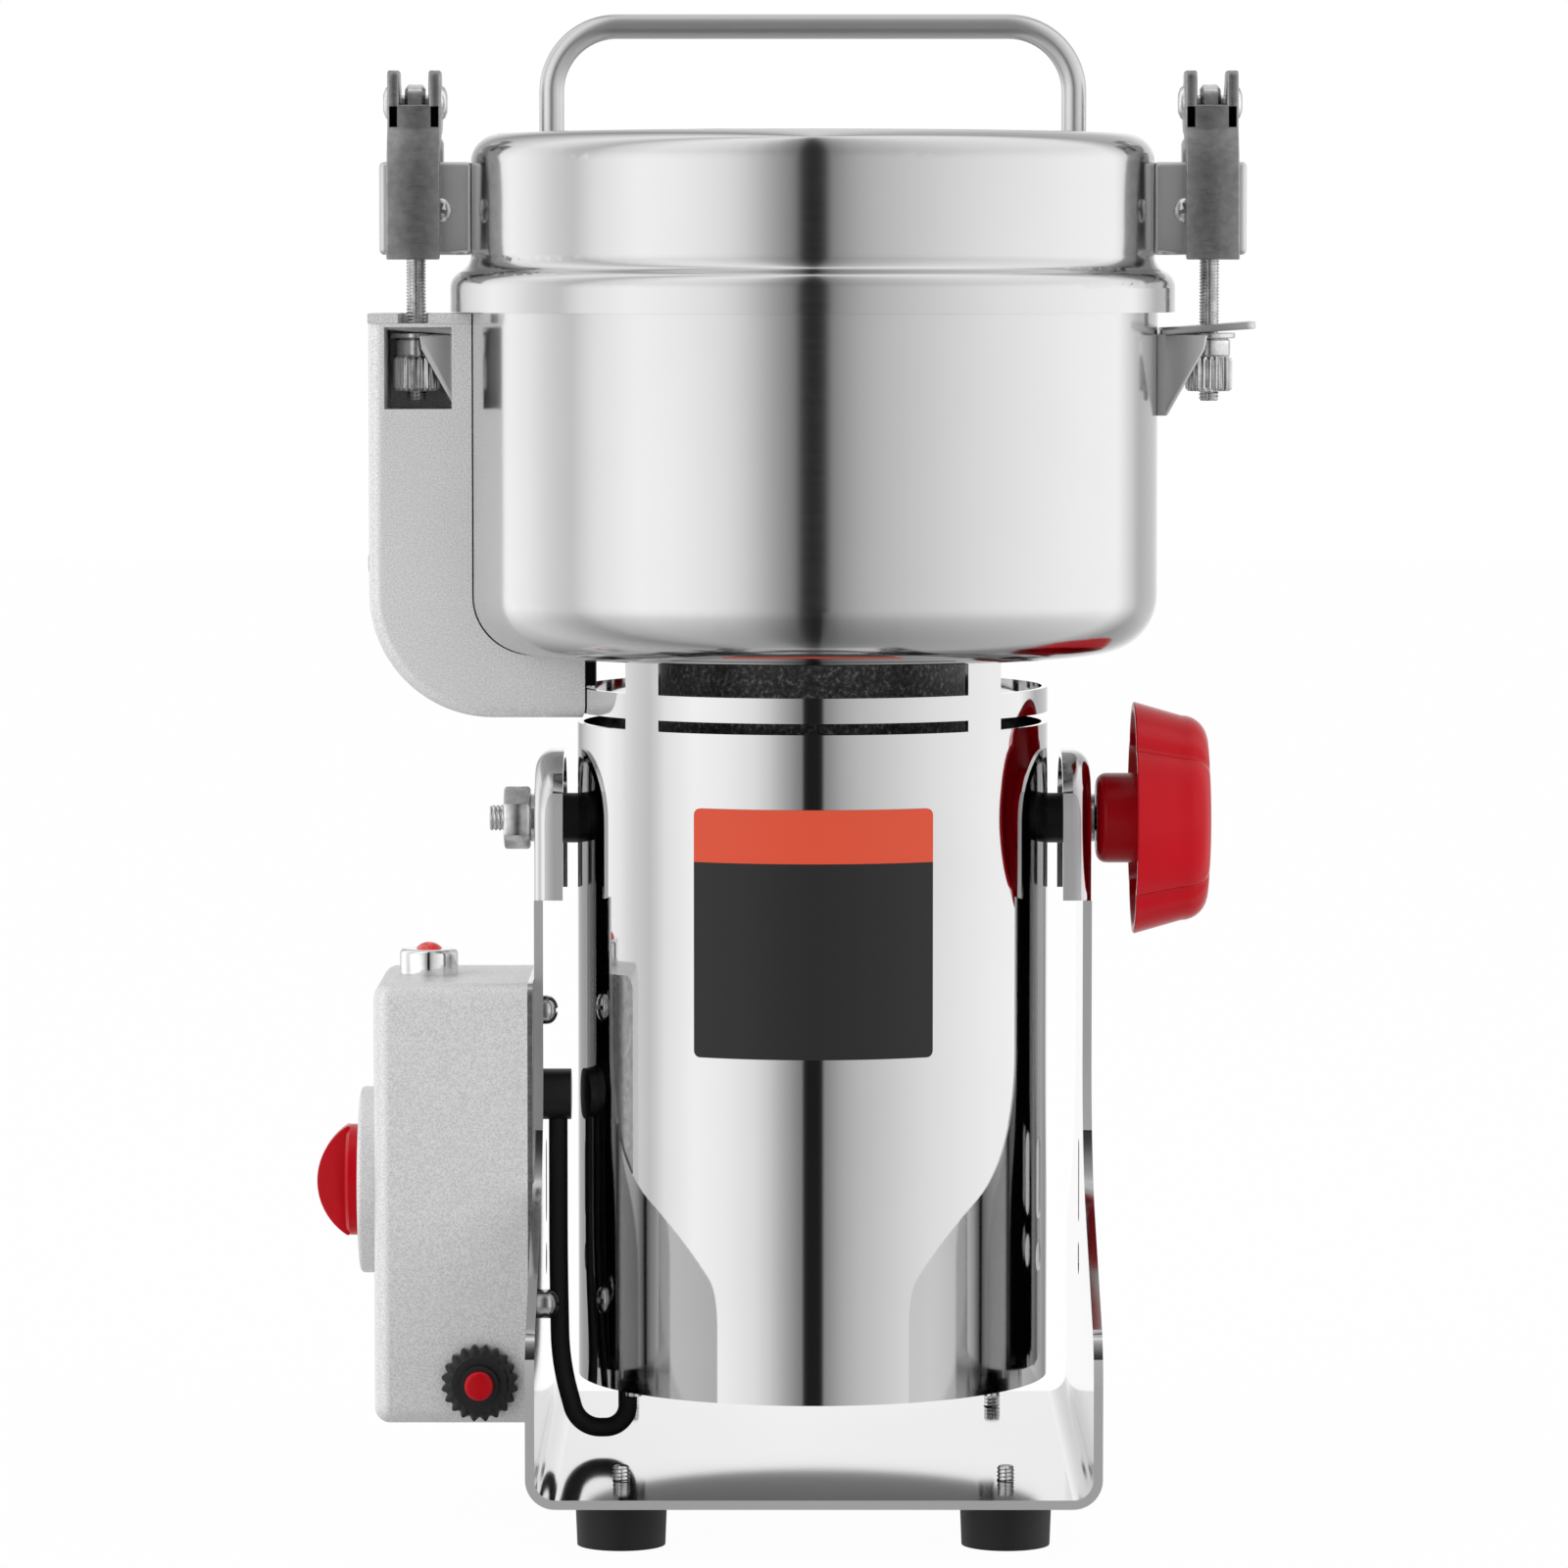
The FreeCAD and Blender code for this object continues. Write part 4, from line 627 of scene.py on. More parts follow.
def thread(values, length, transform, around):
    radius = values["radius"]
    pitch = values["pitch"]
    depth = values["depth"]
    perTurn = threadShape["stepsPerTurn"]
    steps = max(int(length / pitch * perTurn), perTurn)
    rings = []
    for level in range(steps + 1):
        height = length * level / steps
        ringPoints = []
        for index in range(around):
            share = index / around
            phase = (height / pitch - share) % 1.0
            cutDepth = depth * (1 - abs(2 * phase - 1)) if height > values["plain"] else 0.0
            ends = min(height, length - height)
            taper = max(0.0, threadShape["chamfer"] - ends)
            reach = radius - max(cutDepth, taper)
            angle = 2 * pi * share
            ringPoints.append((reach * cos(angle), reach * sin(angle), height))
        rings.append(ringPoints)
    return ringStack("thread", rings, transform)


# A turned piece whose skirt is fluted. A station's share says how much of the flutes' depth it has.
def fluted(name, stations, flutes, depth, transform, around):
    rings = []
    for radius, height, share in stations:
        ringPoints = []
        for index in range(around):
            angle = 2 * pi * index / around
            reach = radius - depth * share * (0.5 + 0.5 * cos(flutes * angle))
            ringPoints.append((reach * cos(angle), reach * sin(angle), height))
        rings.append(ringPoints)
    return ringStack(name, rings, transform, closed=True)


# A pan-head screw with a cross recess. Its seat is at the origin and its head points to +Z.
recess = {
    "long": 0.62,
    "short": 0.16,
    "rim": 0.25,
}


def crossScrew(values, transform):
    radius = values["radius"]
    height = values["height"]
    shank = values["shank"]
    rim = height * recess["rim"]
    dome = [(shank, -values["length"]), (shank, 0.0), (radius, 0.0), (radius, rim)]
    dome += [
        (radius * cos(a), rim + (height - rim) * sin(a))
        for a in (pi / 2 * i / 8 for i in range(1, 8))
    ]
    dome.append((0.0, height))
    screw = lathe("screw", dome, None, 48)
    cutters = []
    arms = (recess["long"], recess["short"])
    for across, along in (arms, arms[::-1]):
        outline = [
            (-radius * across, -radius * along), (radius * across, -radius * along),
            (radius * across, radius * along), (-radius * across, radius * along),
        ]
        cutters.append(slab("cutter", outline, height * 1.2, placeAt((0, 0, height))))
    carve(screw, cutters)
    shift = transform.copy()
    shift.translation = transform.translation * mm
    screw.data.transform(shift)
    return screw


# The motor's upright axis stands to the right of the frame's middle.
machine = {"axisOffset": 7.0}
mx = machine["axisOffset"]


# Lock knob: a lobed cup with a rounded end on a round hub.
lockKnob = {
    "start": 69.3,
    "level": 168.6,
    "hubRadius": 11.0,
    "hubRound": 2.6,
    "hubShows": 9.1,
    "radius": 28.4,
    "lobeRadius": 23.0,
    "valleyDepth": 1.0,
    "valleyWidth": 0.07,
    "lobes": 4,
    "depth": 18.2,
    "wall": 2.1,
    "taper": 0.885,
    "endRound": 6.5,
    "boltRadius": 3.4,
}


def lobedRing(radius, values, height):
    points = []
    lobe = values["lobeRadius"]
    pitch = values["radius"] - lobe
    sector = 2 * pi / values["lobes"]
    for index in range(192):
        angle = 2 * pi * index / 192
        near = (angle + sector / 2) % sector - sector / 2
        reach = pitch * cos(near) + sqrt(lobe * lobe - (pitch * sin(near)) ** 2)
        edge = sector / 2 - abs(near)
        groove = values["valleyDepth"] * exp(-(edge / values["valleyWidth"]) ** 2)
        share = (reach - groove) / values["radius"]
        points.append((radius * share * cos(angle), radius * share * sin(angle), height))
    return points


def makeLockKnob(values):
    depth = values["depth"]
    rings = []
    outer = values["radius"]
    narrow = outer * values["taper"]
    bend = values["endRound"]
    wall = values["wall"]
    rings.append(lobedRing(outer - 0.3, values, 0.0))
    rings.append(lobedRing(outer, values, 0.3))
    for share in (0.25, 0.5, 0.75, 1.0):
        height = 0.3 + (depth - bend - 0.3) * share
        rings.append(lobedRing(outer + (narrow - outer) * share, values, height))
    for step in range(1, 9):
        angle = pi / 2 * step / 8
        radius = narrow - bend * (1 - cos(angle))
        rings.append(lobedRing(radius, values, depth - bend + bend * sin(angle)))
    for share in (0.7, 0.4, 0.1, 0.01):
        rings.append(lobedRing((narrow - bend) * share, values, depth))
    rings.append(lobedRing(0.1, values, depth - wall))
    innerBend = bend - wall
    for share in (0.3, 0.6, 1.0):
        rings.append(lobedRing((narrow - bend) * share, values, depth - wall))
    for step in range(7, -1, -1):
        angle = pi / 2 * step / 8
        radius = narrow - wall - innerBend * (1 - cos(angle))
        rings.append(lobedRing(radius, values, depth - bend + innerBend * sin(angle)))
    rings.append(lobedRing(outer - wall, values, 0.3))
    rings.append(lobedRing(outer - wall + 0.3, values, 0.0))
    start = values["start"]
    cupStart = start + values["hubShows"]
    cup = ringStack("cup", rings, placeAt((mx + cupStart, 0, values["level"]), "+x", 90), closed=True)
    hubRound = values["hubRound"]
    radius = values["hubRadius"]
    bolt = values["boltRadius"]
    hubEnd = cupStart - start + depth - wall
    hub = [(bolt, 0.0)]
    hub += arcPoints((radius - hubRound, hubRound), hubRound, -90, 0, 8)
    hub += [(radius, hubEnd), (bolt, hubEnd)]
    hubPiece = lathe("hub", hub, placeAt((mx + start, 0, values["level"]), "+x"), 72, closed=True)
    knob = join("lockKnobSkin", [cup, hubPiece])
    hand(knob, "lock_knob", ["lock_knob"], "redPlastic", 42)


makeLockKnob(lockKnob)
print("lock knob made")


# Timer knob: a round base and a D-shaped grip.
timerKnob = {
    "face": -103.7,
    "y": -8.0,
    "level": 80.5,
    "baseRadius": 13.6,
    "base": 3.0,
    "rise": 7.3,
    "thickness": 7.0,
    "gripSink": 0.6,
    "gripRound": 1.6,
    "bore": 3.05,
}


def makeTimerKnob(values):
    base = [
        (values["bore"], 0.0), (values["baseRadius"], 0.0), (values["baseRadius"], values["base"] - 0.8),
        (values["baseRadius"] - 0.8, values["base"]), (values["bore"], values["base"]),
    ]
    at = (values["face"], values["y"], values["level"])
    disc = lathe("disc", base, placeAt(at, "-x"), 72, closed=True)
    half = values["baseRadius"] - 0.2
    rise = values["rise"]
    bend = (half * half + rise * rise) / (2 * rise)
    sweep = degrees(asin(half / bend))
    sink = values["gripSink"]
    outline = arcPoints((0, rise - bend), bend, 90 - sweep, 90 + sweep, 32)
    outline += [(-half, -sink), (half, -sink)]
    lying = Matrix(((0, -1, 0, 0), (0, 0, -1, 0), (1, 0, 0, 0), (0, 0, 0, 1)))
    gripPlace = moved(values["face"] - values["base"], values["y"], values["level"])
    grip = slab("grip", outline, values["thickness"], gripPlace @ lying)
    soften(grip, values["gripRound"], 4)
    knob = join("timerKnobSkin", [disc, grip])
    hand(knob, "timer_knob", ["timer_knob"], "redPlastic", 40)


makeTimerKnob(timerKnob)


# Breaker: a collar with teeth around it, its smooth bush ring, and the domed button.
breaker = {
    "x": -73.4,
    "front": -34.0,
    "level": 34.5,
    "collarRadius": 9.3,
    "bushRadius": 4.7,
    "thickness": 4.5,
    "teeth": 20,
    "toothDepth": 1.1,
    "buttonRadius": 3.5,
    "buttonRound": 0.9,
    "buttonFront": -42.3,
    "buttonLength": 16.0,
}


def makeBreaker(values):
    r = values["collarRadius"]
    bush = values["bushRadius"]
    t = values["thickness"]
    stations = [
        (bush, 0.0, 0.0), (r - 0.3, 0.0, 1.0), (r, 0.4, 1.0), (r, t - 1.6, 1.0), (r - 1.0, t - 0.9, 0.7),
        (r - 2.2, t - 0.7, 0.0), (r - 2.6, t, 0.0), (bush, t, 0.0),
    ]
    place = placeAt((values["x"], values["front"], values["level"]), "-y")
    collar = fluted("breakerCollarSkin", stations, values["teeth"], values["toothDepth"], place, 240)
    hand(collar, "cradle", ["breaker_collar"], "blackPlastic", 30)
    br = values["buttonRadius"]
    bend = values["buttonRound"]
    profile = [(br, -values["buttonLength"])]
    profile += arcPoints((br - bend, -bend), bend, 0, 90, 6)
    profile.append((0.0, 0.0))
    place = placeAt((values["x"], values["buttonFront"], values["level"]), "-y")
    button = lathe("breakerButtonSkin", profile, place, 48)
    hand(button, "breaker_button", ["breaker_button"], "redPlastic")


makeBreaker(breaker)
print("control pieces made")


# Rating plate: a thin bent film with round corners.
ratingPlate = {
    "low": 115.1,
    "high": 174.6,
    "halfAngle": 29.4,
    "inner": 57.56,
    "outer": 58.03,
    "corner": 1.6,
}


def makeRatingPlate(values):
    half = radians(values["halfAngle"])
    corner = values["corner"]
    columns = [half * (i / 48 - 1) for i in range(97)]
    edge = [half - corner / values["outer"] * (1 - sin(pi / 2 * i / 6)) for i in range(7)]
    angles = sorted(set([round(a, 6) for a in columns + edge + [-e for e in edge]]))
    rings = []
    for angle in angles:
        inward = (half - abs(angle)) * values["outer"]
        drop = 0.0
        if inward < corner:
            drop = corner - sqrt(max(corner * corner - (corner - inward) ** 2, 0.0))
        way = (sin(angle), -cos(angle))
        ringPoints = []
        for radius, height in (
            (values["inner"], values["low"] + drop), (values["outer"], values["low"] + drop),
            (values["outer"], values["high"] - drop), (values["inner"], values["high"] - drop),
        ):
            ringPoints.append((mx + radius * way[0], radius * way[1], height))
        rings.append(ringPoints)
    film = ringStack("ratingPlateSkin", rings)
    hand(film, "grinder", ["rating_plate"], "printedFilm", 50)


makeRatingPlate(ratingPlate)


# Clamp pieces, one set on each side.
clamp = {
    "offset": 96.6,
    "pinLevel": 342.9,
    "leverWidth": 12.9,
    "earPlate": 2.9,
    "earTop": 7.7,
    "camRadius": 6.3,
    "sheet": 1.9,
    "front": 7.26,
    "knee": 336.5,
    "belly": 15.0,
    "bellyLevel": 317.0,
    "low": 304.9,
    "sweepOuter": 34.0,
    "sweepInner": 32.0,
    "lip": 1.5,
    "lipHeight": 6.0,
    "lipOuter": 14.0,
    "lipInner": 12.0,
    "webUnderPin": 0.6,
    "earEdge": 0.5,
    "webEdge": 0.55,
    "earSink": 6.0,
    "earRound": 2.0,
    "earBack": 1.5,
    "earBackRound": 2.4,
    "camForward": 0.26,
    "camDrop": 1.5,
    "boltLow": 270.6,
    "eyeRadius": 4.5,
    "eyeWidth": 5.0,
    "pinHead": 4.3,
    "pinRise": 1.3,
    "pinShank": 1.95,
    "eyeBore": 2.1,
    "eyeEdge": 0.8,
    "nutBore": 2.56,
    "nutGap": 0.06,
    "knurlRadius": 5.75,
    "collarRadius": 5.15,
    "nutLow": 272.95,
    "nutStep": 281.3,
    "nutHigh": 285.75,
    "flutes": 22,
    "fluteDepth": 0.75,
    "washerRadius": 6.4,
    "washerBore": 2.6,
    "washer": 1.3,
}


boltThread = {
    "radius": 2.5,
    "plain": 33.9,
    "pitch": 0.8,
    "depth": 0.42,
}


# An arc from start to end, without its first point. A negative radius bends the other way.
def bendBetween(start, end, radius, steps=10):
    first = Vector(start)
    last = Vector(end)
    chord = last - first
    half = chord.length / 2
    rise = sqrt(max(radius * radius - half * half, 0.0))
    side = Vector((-chord.y, chord.x)).normalized() * (1 if radius > 0 else -1)
    centre = (first + last) / 2 + side * rise
    a0 = atan2(first.y - centre.y, first.x - centre.x)
    a1 = atan2(last.y - centre.y, last.x - centre.x)
    while radius > 0 and a1 < a0:
        a1 += 2 * pi
    while radius < 0 and a1 > a0:
        a1 -= 2 * pi
    size = abs(radius)
    return [
        (centre.x + size * cos(a), centre.y + size * sin(a))
        for a in (a0 + (a1 - a0) * i / steps for i in range(1, steps + 1))
    ]


def leverWeb(values):
    front = values["front"]
    sheet = values["sheet"]
    belly = values["belly"]
    low = values["low"]
    top = low + values["lipHeight"]
    high = values["pinLevel"] - values["webUnderPin"]
    outer = [(-front - sheet, high), (-front - sheet, values["knee"])]
    outer += bendBetween(outer[-1], (-belly, values["bellyLevel"]), values["sweepOuter"])
    outer.append((-belly, top))
    outer += bendBetween(outer[-1], (-belly - values["lip"], low), -values["lipOuter"])
    inner = [(sheet - belly - values["lip"], low)]
    inner += bendBetween(inner[-1], (sheet - belly, top), values["lipInner"])
    inner.append((sheet - belly, values["bellyLevel"]))
    inner += bendBetween(inner[-1], (-front, values["knee"]), -values["sweepInner"])
    inner.append((-front, high))
    return outer + inner


def makeLever(values, side, x):
    web = slab("web", leverWeb(values), values["leverWidth"], moved(x) @ standing)
    soften(web, values["webEdge"], 3)
    parts = [web]
    front = values["front"] + values["sheet"]
    pin = values["pinLevel"]
    cam = values["camRadius"]
    top = pin + values["earTop"]
    bend = values["earRound"]
    back = values["earBack"]
    backBend = values["earBackRound"]
    prong = [(-front, values["knee"] - values["earSink"])]
    prong += [(-front, top - bend)]
    prong += arcPoints((bend - front, top - bend), bend, 180, 90, 5)[1:]
    prong += [(-back, top)]
    prong += arcPoints((-back, top - backBend), backBend, 90, 0, 5)[1:]
    prong += arcPoints((-values["camForward"], pin - values["camDrop"]), cam, 40, -100, 16)
    for way in (-1, 1):
        earX = x + way * (values["leverWidth"] - values["earPlate"]) / 2
        ear = slab("ear", prong, values["earPlate"], moved(earX) @ standing)
        soften(ear, values["earEdge"], 3)
        parts.append(ear)
    lever = join("clampLeverSkin_" + side, parts)
    hand(lever, "clamp_lever_" + side, ["clamp_lever_" + side], "darkPlating", 40)


def makeClamp(values, side, sign):
    x = mx + sign * values["offset"]
    makeLever(values, side, x)
    head = values["pinHead"]
    half = values["leverWidth"] / 2
    rise = values["pinRise"]
    shank = values["pinShank"]
    headEnd = [(shank, half), (head, half), (head * 0.85, half + rise * 0.6), (head * 0.55, half + rise)]
    headEnd.append((0.0, half + rise))
    profile = [(radius, -height) for radius, height in headEnd[::-1]] + headEnd
    pin = lathe("clampPinSkin_" + side, profile, placeAt((x, 0, values["pinLevel"]), "+x"), 40)
    hand(pin, "clamp_lever_" + side, ["clamp_pin_" + side], "brightPlating")
    length = values["pinLevel"] - values["boltLow"]
    bolt = thread(boltThread, length, placeAt((x, 0, values["pinLevel"]), "-z"), 40)
    w = values["eyeWidth"] / 2
    r = values["eyeRadius"]
    bore = values["eyeBore"]
    edge = values["eyeEdge"]
    eyeProfile = [(bore, -w), (r - 1.0, -w), (r, edge - w), (r, w - edge), (r - 1.0, w), (bore, w)]
    eye = lathe("eye", eyeProfile, placeAt((x, 0, values["pinLevel"]), "+x"), 20, closed=True)
    section = washerProfile(values["washerBore"], values["washerRadius"], 0.0, values["washer"])
    place = placeAt((x, 0, values["nutHigh"] + values["nutGap"]))
    washer = lathe("washer", section, place, 48, closed=True)
    boltPiece = join("drawBoltSkin_" + side, [bolt, eye, washer])
    hand(boltPiece, "grinder", ["draw_bolt_" + side], "brightPlating", 28)
    low = values["nutLow"]
    step = values["nutStep"]
    high = values["nutHigh"]
    kr = values["knurlRadius"]
    cr = values["collarRadius"]
    bore = values["nutBore"]
    stations = [
        (bore, low, 0.0), (kr - 0.7, low, 0.4), (kr, low + 0.7, 1.0),
        (kr, step - 0.6, 1.0), (kr - 0.5, step, 0.5), (cr - 0.3, step + 0.1, 0.0),
        (cr, step + 0.5, 0.0), (cr, high - 0.5, 0.0), (cr - 0.5, high, 0.0), (bore, high, 0.0),
    ]
    flutes = values["flutes"]
    place = placeAt((x, 0, 0))
    nut = fluted("clampNutSkin_" + side, stations, flutes, values["fluteDepth"], place, flutes * 8)
    hand(nut, "clamp_nut_" + side, ["clamp_nut_" + side], "brightPlating", 28)


makeClamp(clamp, "left", -1)
makeClamp(clamp, "right", 1)
print("clamps made")


# Small screws: bracket screws front and back, the guard's side screw, the box screws inside the left leg.
bracketScrew = {
    "radius": 3.1,
    "height": 2.0,
    "shank": 1.45,
    "length": 2.9,
    "inboard": 6.2,
    "level": 316.8,
    "face": 9.0,
}
guardScrew = {
    "radius": 3.1,
    "height": 0.98,
    "shank": 1.45,
    "length": 6.0,
    "x": -100.6,
    "level": 231.0,
}
boxScrew = {
    "radius": 3.55,
    "height": 3.5,
    "shank": 1.85,
    "length": 11.0,
    "x": -58.4,
    "y": -16.5,
    "levels": (51.0, 123.0),
}


def makeGrinderScrews(values, side):
    made = []
    for sign in (-1, 1):
        x = mx + sign * (clamp["offset"] - values["inboard"])
        for way, y, turn in (("-y", -values["face"], 18 * sign), ("+y", values["face"], 10)):
            made.append(crossScrew(values, placeAt((x, y, values["level"]), way, turn)))
    made.append(crossScrew(side, placeAt((side["x"], 0, side["level"]), "-x")))
    hand(join("grinderScrewsSkin", made), "grinder", ["grinder_screws"], "brightPlating")


def makeBoxScrews(values):
    x = values["x"]
    y = values["y"]
    made = [crossScrew(values, placeAt((x, y, level), "+x")) for level in values["levels"]]
    hand(join("boxScrewsSkin", made), "cradle", ["box_screws"], "brightPlating")


makeGrinderScrews(bracketScrew, guardScrew)
makeBoxScrews(boxScrew)


# Foot screws: threaded ends above the plate.
footScrews = {
    "halfSpacing": 45.7,
    "front": -62.5,
    "rear": 52.0,
    "radius": 2.1,
    "low": 2.4,
    "high": 18.8,
    "headRadius": 4.0,
    "headHeight": 2.6,
    "plain": 3.0,
    "pitch": 0.9,
    "depth": 0.35,
}


def makeFootScrews(values):
    made = []
    for side in (-1, 1):
        for y in (values["front"], values["rear"]):
            at = (mx + side * values["halfSpacing"], y, values["low"])
            made.append(thread(values, values["high"] - values["low"], placeAt(at), 28))
            head = [(0.0, 0.0), (values["headRadius"] - 0.6, 0.0), (values["headRadius"], 0.6),
                    (values["headRadius"], values["headHeight"]), (0.0, values["headHeight"])]
            made.append(lathe("head", head, placeAt(at), 32))
    hand(join("footScrewsSkin", made), "cradle", ["foot_screws"], "brightPlating", 28)


makeFootScrews(footScrews)


# Pivot hardware: threaded stud ends and a chamfered nut with washers.
pivot = {
    "level": 168.6,
    "radius": 3.25,
    "leftEnd": 79.0,
    "rightEnd": 87.3,
    "inside": 52.0,
    "plain": 10.0,
    "gap": 0.05,
    "pitch": 1.0,
    "depth": 0.45,
    "headRadius": 6.5,
    "head": 3.0,
    "legOut": 67.6,
    "washer": 1.33,
    "washerRadius": 5.9,
    "washerBore": 3.35,
    "nutCorner": 7.9,
    "nut": 6.5,
    "nutGap": 0.07,
    "nutEdge": 0.8,
}


def makePivot(values):
    studs = []
    fasteners = []
    for sign, way, end in ((-1, "-x", values["leftEnd"]), (1, "+x", values["rightEnd"])):
        at = (mx + sign * values["inside"], 0, values["level"])
        studs.append(thread(values, end - values["inside"], placeAt(at, way), 36))
        gap = values["gap"]
        radius = values["headRadius"]
        head = [(0.0, gap), (radius, gap), (radius, values["head"]), (0.0, values["head"])]
        studs.append(lathe("head", head, placeAt(at, way), 40))
        profile = washerProfile(values["washerBore"], values["washerRadius"], gap, values["washer"])
        seat = (mx + sign * values["legOut"], 0, values["level"])
        fasteners.append(lathe("washer", profile, placeAt(seat, way), 48, closed=True))
    corner = values["nutCorner"]
    depth = values["nut"]
    outline = arcPoints((0.0, 0.0), corner, 0, 300, 5)
    nutX = mx - values["legOut"] - values["washer"] - values["nutGap"]
    nut = slab("nut", outline, depth, placeAt((nutX - depth / 2, 0, values["level"]), "-x"))
    soften(nut, values["nutEdge"], 2)
    fasteners.append(nut)
    hand(join("pivotStudsSkin", studs), "grinder", ["pivot_studs"], "brightPlating", 28)
    skin = join("pivotFastenersSkin", fasteners)
    hand(skin, "grinder", ["pivot_fasteners"], "brightPlating", 30)


makePivot(pivot)
print("screws and pivot made")


# Hooks on the bowl: a slotted plate that rises a little outwards, two folded gussets and a strap.
hooks = {
    "bowl": 84.05,
    "reachLeft": 104.3,
    "reachRight": 107.5,
    "halfDepth": 8.95,
    "sheet": 2.0,
    "level": 288.3,
    "low": 267.1,
    "slot": 3.0,
    "gusset": 11.7,
    "rise": 4.0,
    "corner": 2.2,
    "sunk": 0.6,
    "thinner": 0.2,
    "plateEdge": 0.35,
    "gussetEdge": 0.5,
    "gussetLip": 3.6,
    "gap": 0.5,
}


def makeHooks(values):
    made = []
    half = values["halfDepth"]
    sheet = values["sheet"]
    bowl = values["bowl"]
    for sign, reach in ((-1, values["reachLeft"]), (1, values["reachRight"])):
        offset = clamp["offset"]
        corner = values["corner"]
        outer = reach - offset
        start = offset - bowl - values["sunk"]
        slot = values["slot"]
        outline = [(-start, -half), (outer - corner, -half)]
        outline += arcPoints((outer - corner, corner - half), corner, -90, 0, 5)[1:]
        outline += [(outer, -slot), (0.0, -slot)]
        outline += arcPoints((0.0, 0.0), slot, 270, 90, 10)[1:-1]
        outline += [(0.0, slot), (outer, slot), (outer, half - corner)]
        outline += arcPoints((outer - corner, half - corner), corner, 0, 90, 5)[1:]
        outline += [(-start, half)]
        tilt = Matrix.Rotation(radians(-sign * values["rise"]), 4, "Y")
        place = moved(mx + sign * offset, 0, values["level"]) @ tilt
        plate = slab("plate", mirrored(outline, sign), sheet - values["thinner"], place)
        soften(plate, values["plateEdge"], 2)
        made.append(plate)
        under = values["level"] - sheet / 2 - values["gap"]
        tip = bowl + values["gusset"]
        gusset = [
            (bowl, under), (tip, under), (tip - values["sunk"], under - values["gussetLip"]),
            (bowl + sheet, values["low"]), (bowl, values["low"]),
        ]
        for depth in (-1, 1):
            y = depth * (half - sheet / 2)
            place = moved(mx, y) @ facingFront
            wing = slab("wing", mirrored(gusset, sign), sheet, place)
            soften(wing, values["gussetEdge"], 3)
            made.append(wing)
        rings = []
        for step in range(13):
            angle = asin(half / bowl) * (step / 6 - 1)
            low = values["low"]
            rings.append([
                (mx + sign * r * cos(angle), r * sin(angle), z)
                for r, z in ((bowl, low), (bowl + sheet, low), (bowl + sheet, under), (bowl, under))
            ])
        made.append(ringStack("strap", rings))
    hand(join("bowlHooksSkin", made), "grinder", ["bowl_hooks"], "bracketSteel", 30)


makeHooks(hooks)


# Clamp brackets on the lid: folded boxes with soft edges, open outwards, and a round-edged seat on each.
brackets = {
    "lid": 83.25,
    "reach": 105.15,
    "low": 306.05,
    "high": 328.5,
    "halfDepth": 8.95,
    "sheet": 1.5,
    "edge": 1.3,
    "bore": 3.0,
    "sunk": 0.2,
    "back": 3.4,
    "through": 5.0,
    "seatRadius": 7.75,
    "seatHigh": 334.7,
    "seatRound": 1.6,
    "seatGap": 0.02,
}


# A cam seat: a hexagon with a round bore and a rounded top edge.
def makeSeat(values, x):
    bore = values["bore"]
    r = values["seatRadius"]
    height = values["seatHigh"] - values["high"]
    bend = values["seatRound"]
    rings = []
    profile = [(bore, 0.0), (r, 0.0), (r, height - bend), (r - 0.5, height - 0.6)]
    profile += [(r - bend, height), (bore, height)]
    for radius, level in profile:
        ringPoints = []
        for index in range(48):
            angle = 2 * pi * index / 48
            flat = cos(pi / 6) / cos((angle + pi / 6) % (pi / 3) - pi / 6)
            size = radius * flat if radius > bore else radius
            ringPoints.append((size * cos(angle), size * sin(angle), level))
        rings.append(ringPoints)
    return ringStack("seat", rings, placeAt((x, 0, values["high"] + values["seatGap"])), closed=True)


def makeBrackets(values):
    made = []
    seats = []
    half = values["halfDepth"]
    middle = (values["low"] + values["high"]) / 2
    for sign in (-1, 1):
        x0 = sqrt(values["lid"] ** 2 - half * half) - values["sunk"]
        outline = [(x0, -half), (values["reach"], -half), (values["reach"], half), (x0, half)]
        tall = values["high"] - values["low"]
        body = slab("body", mirrored(outline, sign), tall, placeAt((mx, 0, middle)))
        soften(body, values["edge"], 4)
        sheet = values["sheet"]
        near = x0 + values["back"]
        far = values["reach"] + values["through"]
        hollow = [(near, sheet - half), (far, sheet - half), (far, half - sheet), (near, half - sheet)]
        cutter = slab("cutter", mirrored(hollow, sign), tall - 2 * sheet, placeAt((mx, 0, middle)))
        x = mx + sign * clamp["offset"]
        drill = lathe("drill", [(values["bore"], -20), (values["bore"], 20)], placeAt((x, 0, middle)), 32)
        core = lathe("core", [(values["lid"], -20), (values["lid"], 20)], placeAt((mx, 0, middle)), 160)
        carve(body, [cutter, drill, core])
        made.append(body)
        seats.append(makeSeat(values, x))
    skin = join("clampBracketsSkin", made)
    hand(skin, "grinder", ["clamp_brackets"], "bracketSteel", 30)
    hand(join("camSeatsSkin", seats), "grinder", ["cam_seats"], "darkPlating", 30)


makeBrackets(brackets)
print("hooks and brackets made")


# Guard housing: a painted pressing with soft front and back edges, hollow behind its window.
guard = {
    "reach": 107.55,
    "bowl": 84.2,
    "low": 194.05,
    "top": 289.45,
    "armHigh": 209.3,
    "armEnd": 57.75,
    "halfDepth": 16.95,
    "outerRound": 30.0,
    "edge": 3.2,
    "bowlCorner": 14.2,
    "bowlLow": 209.3,
    "windowX": (-96.6, -80.3),
    "windowLevels": (268.8, 288.6),
    "windowDepth": (-20.0, 13.0),
    "straight": 20.0,
    "armRun": 4.0,
    "armLean": 0.2,
}


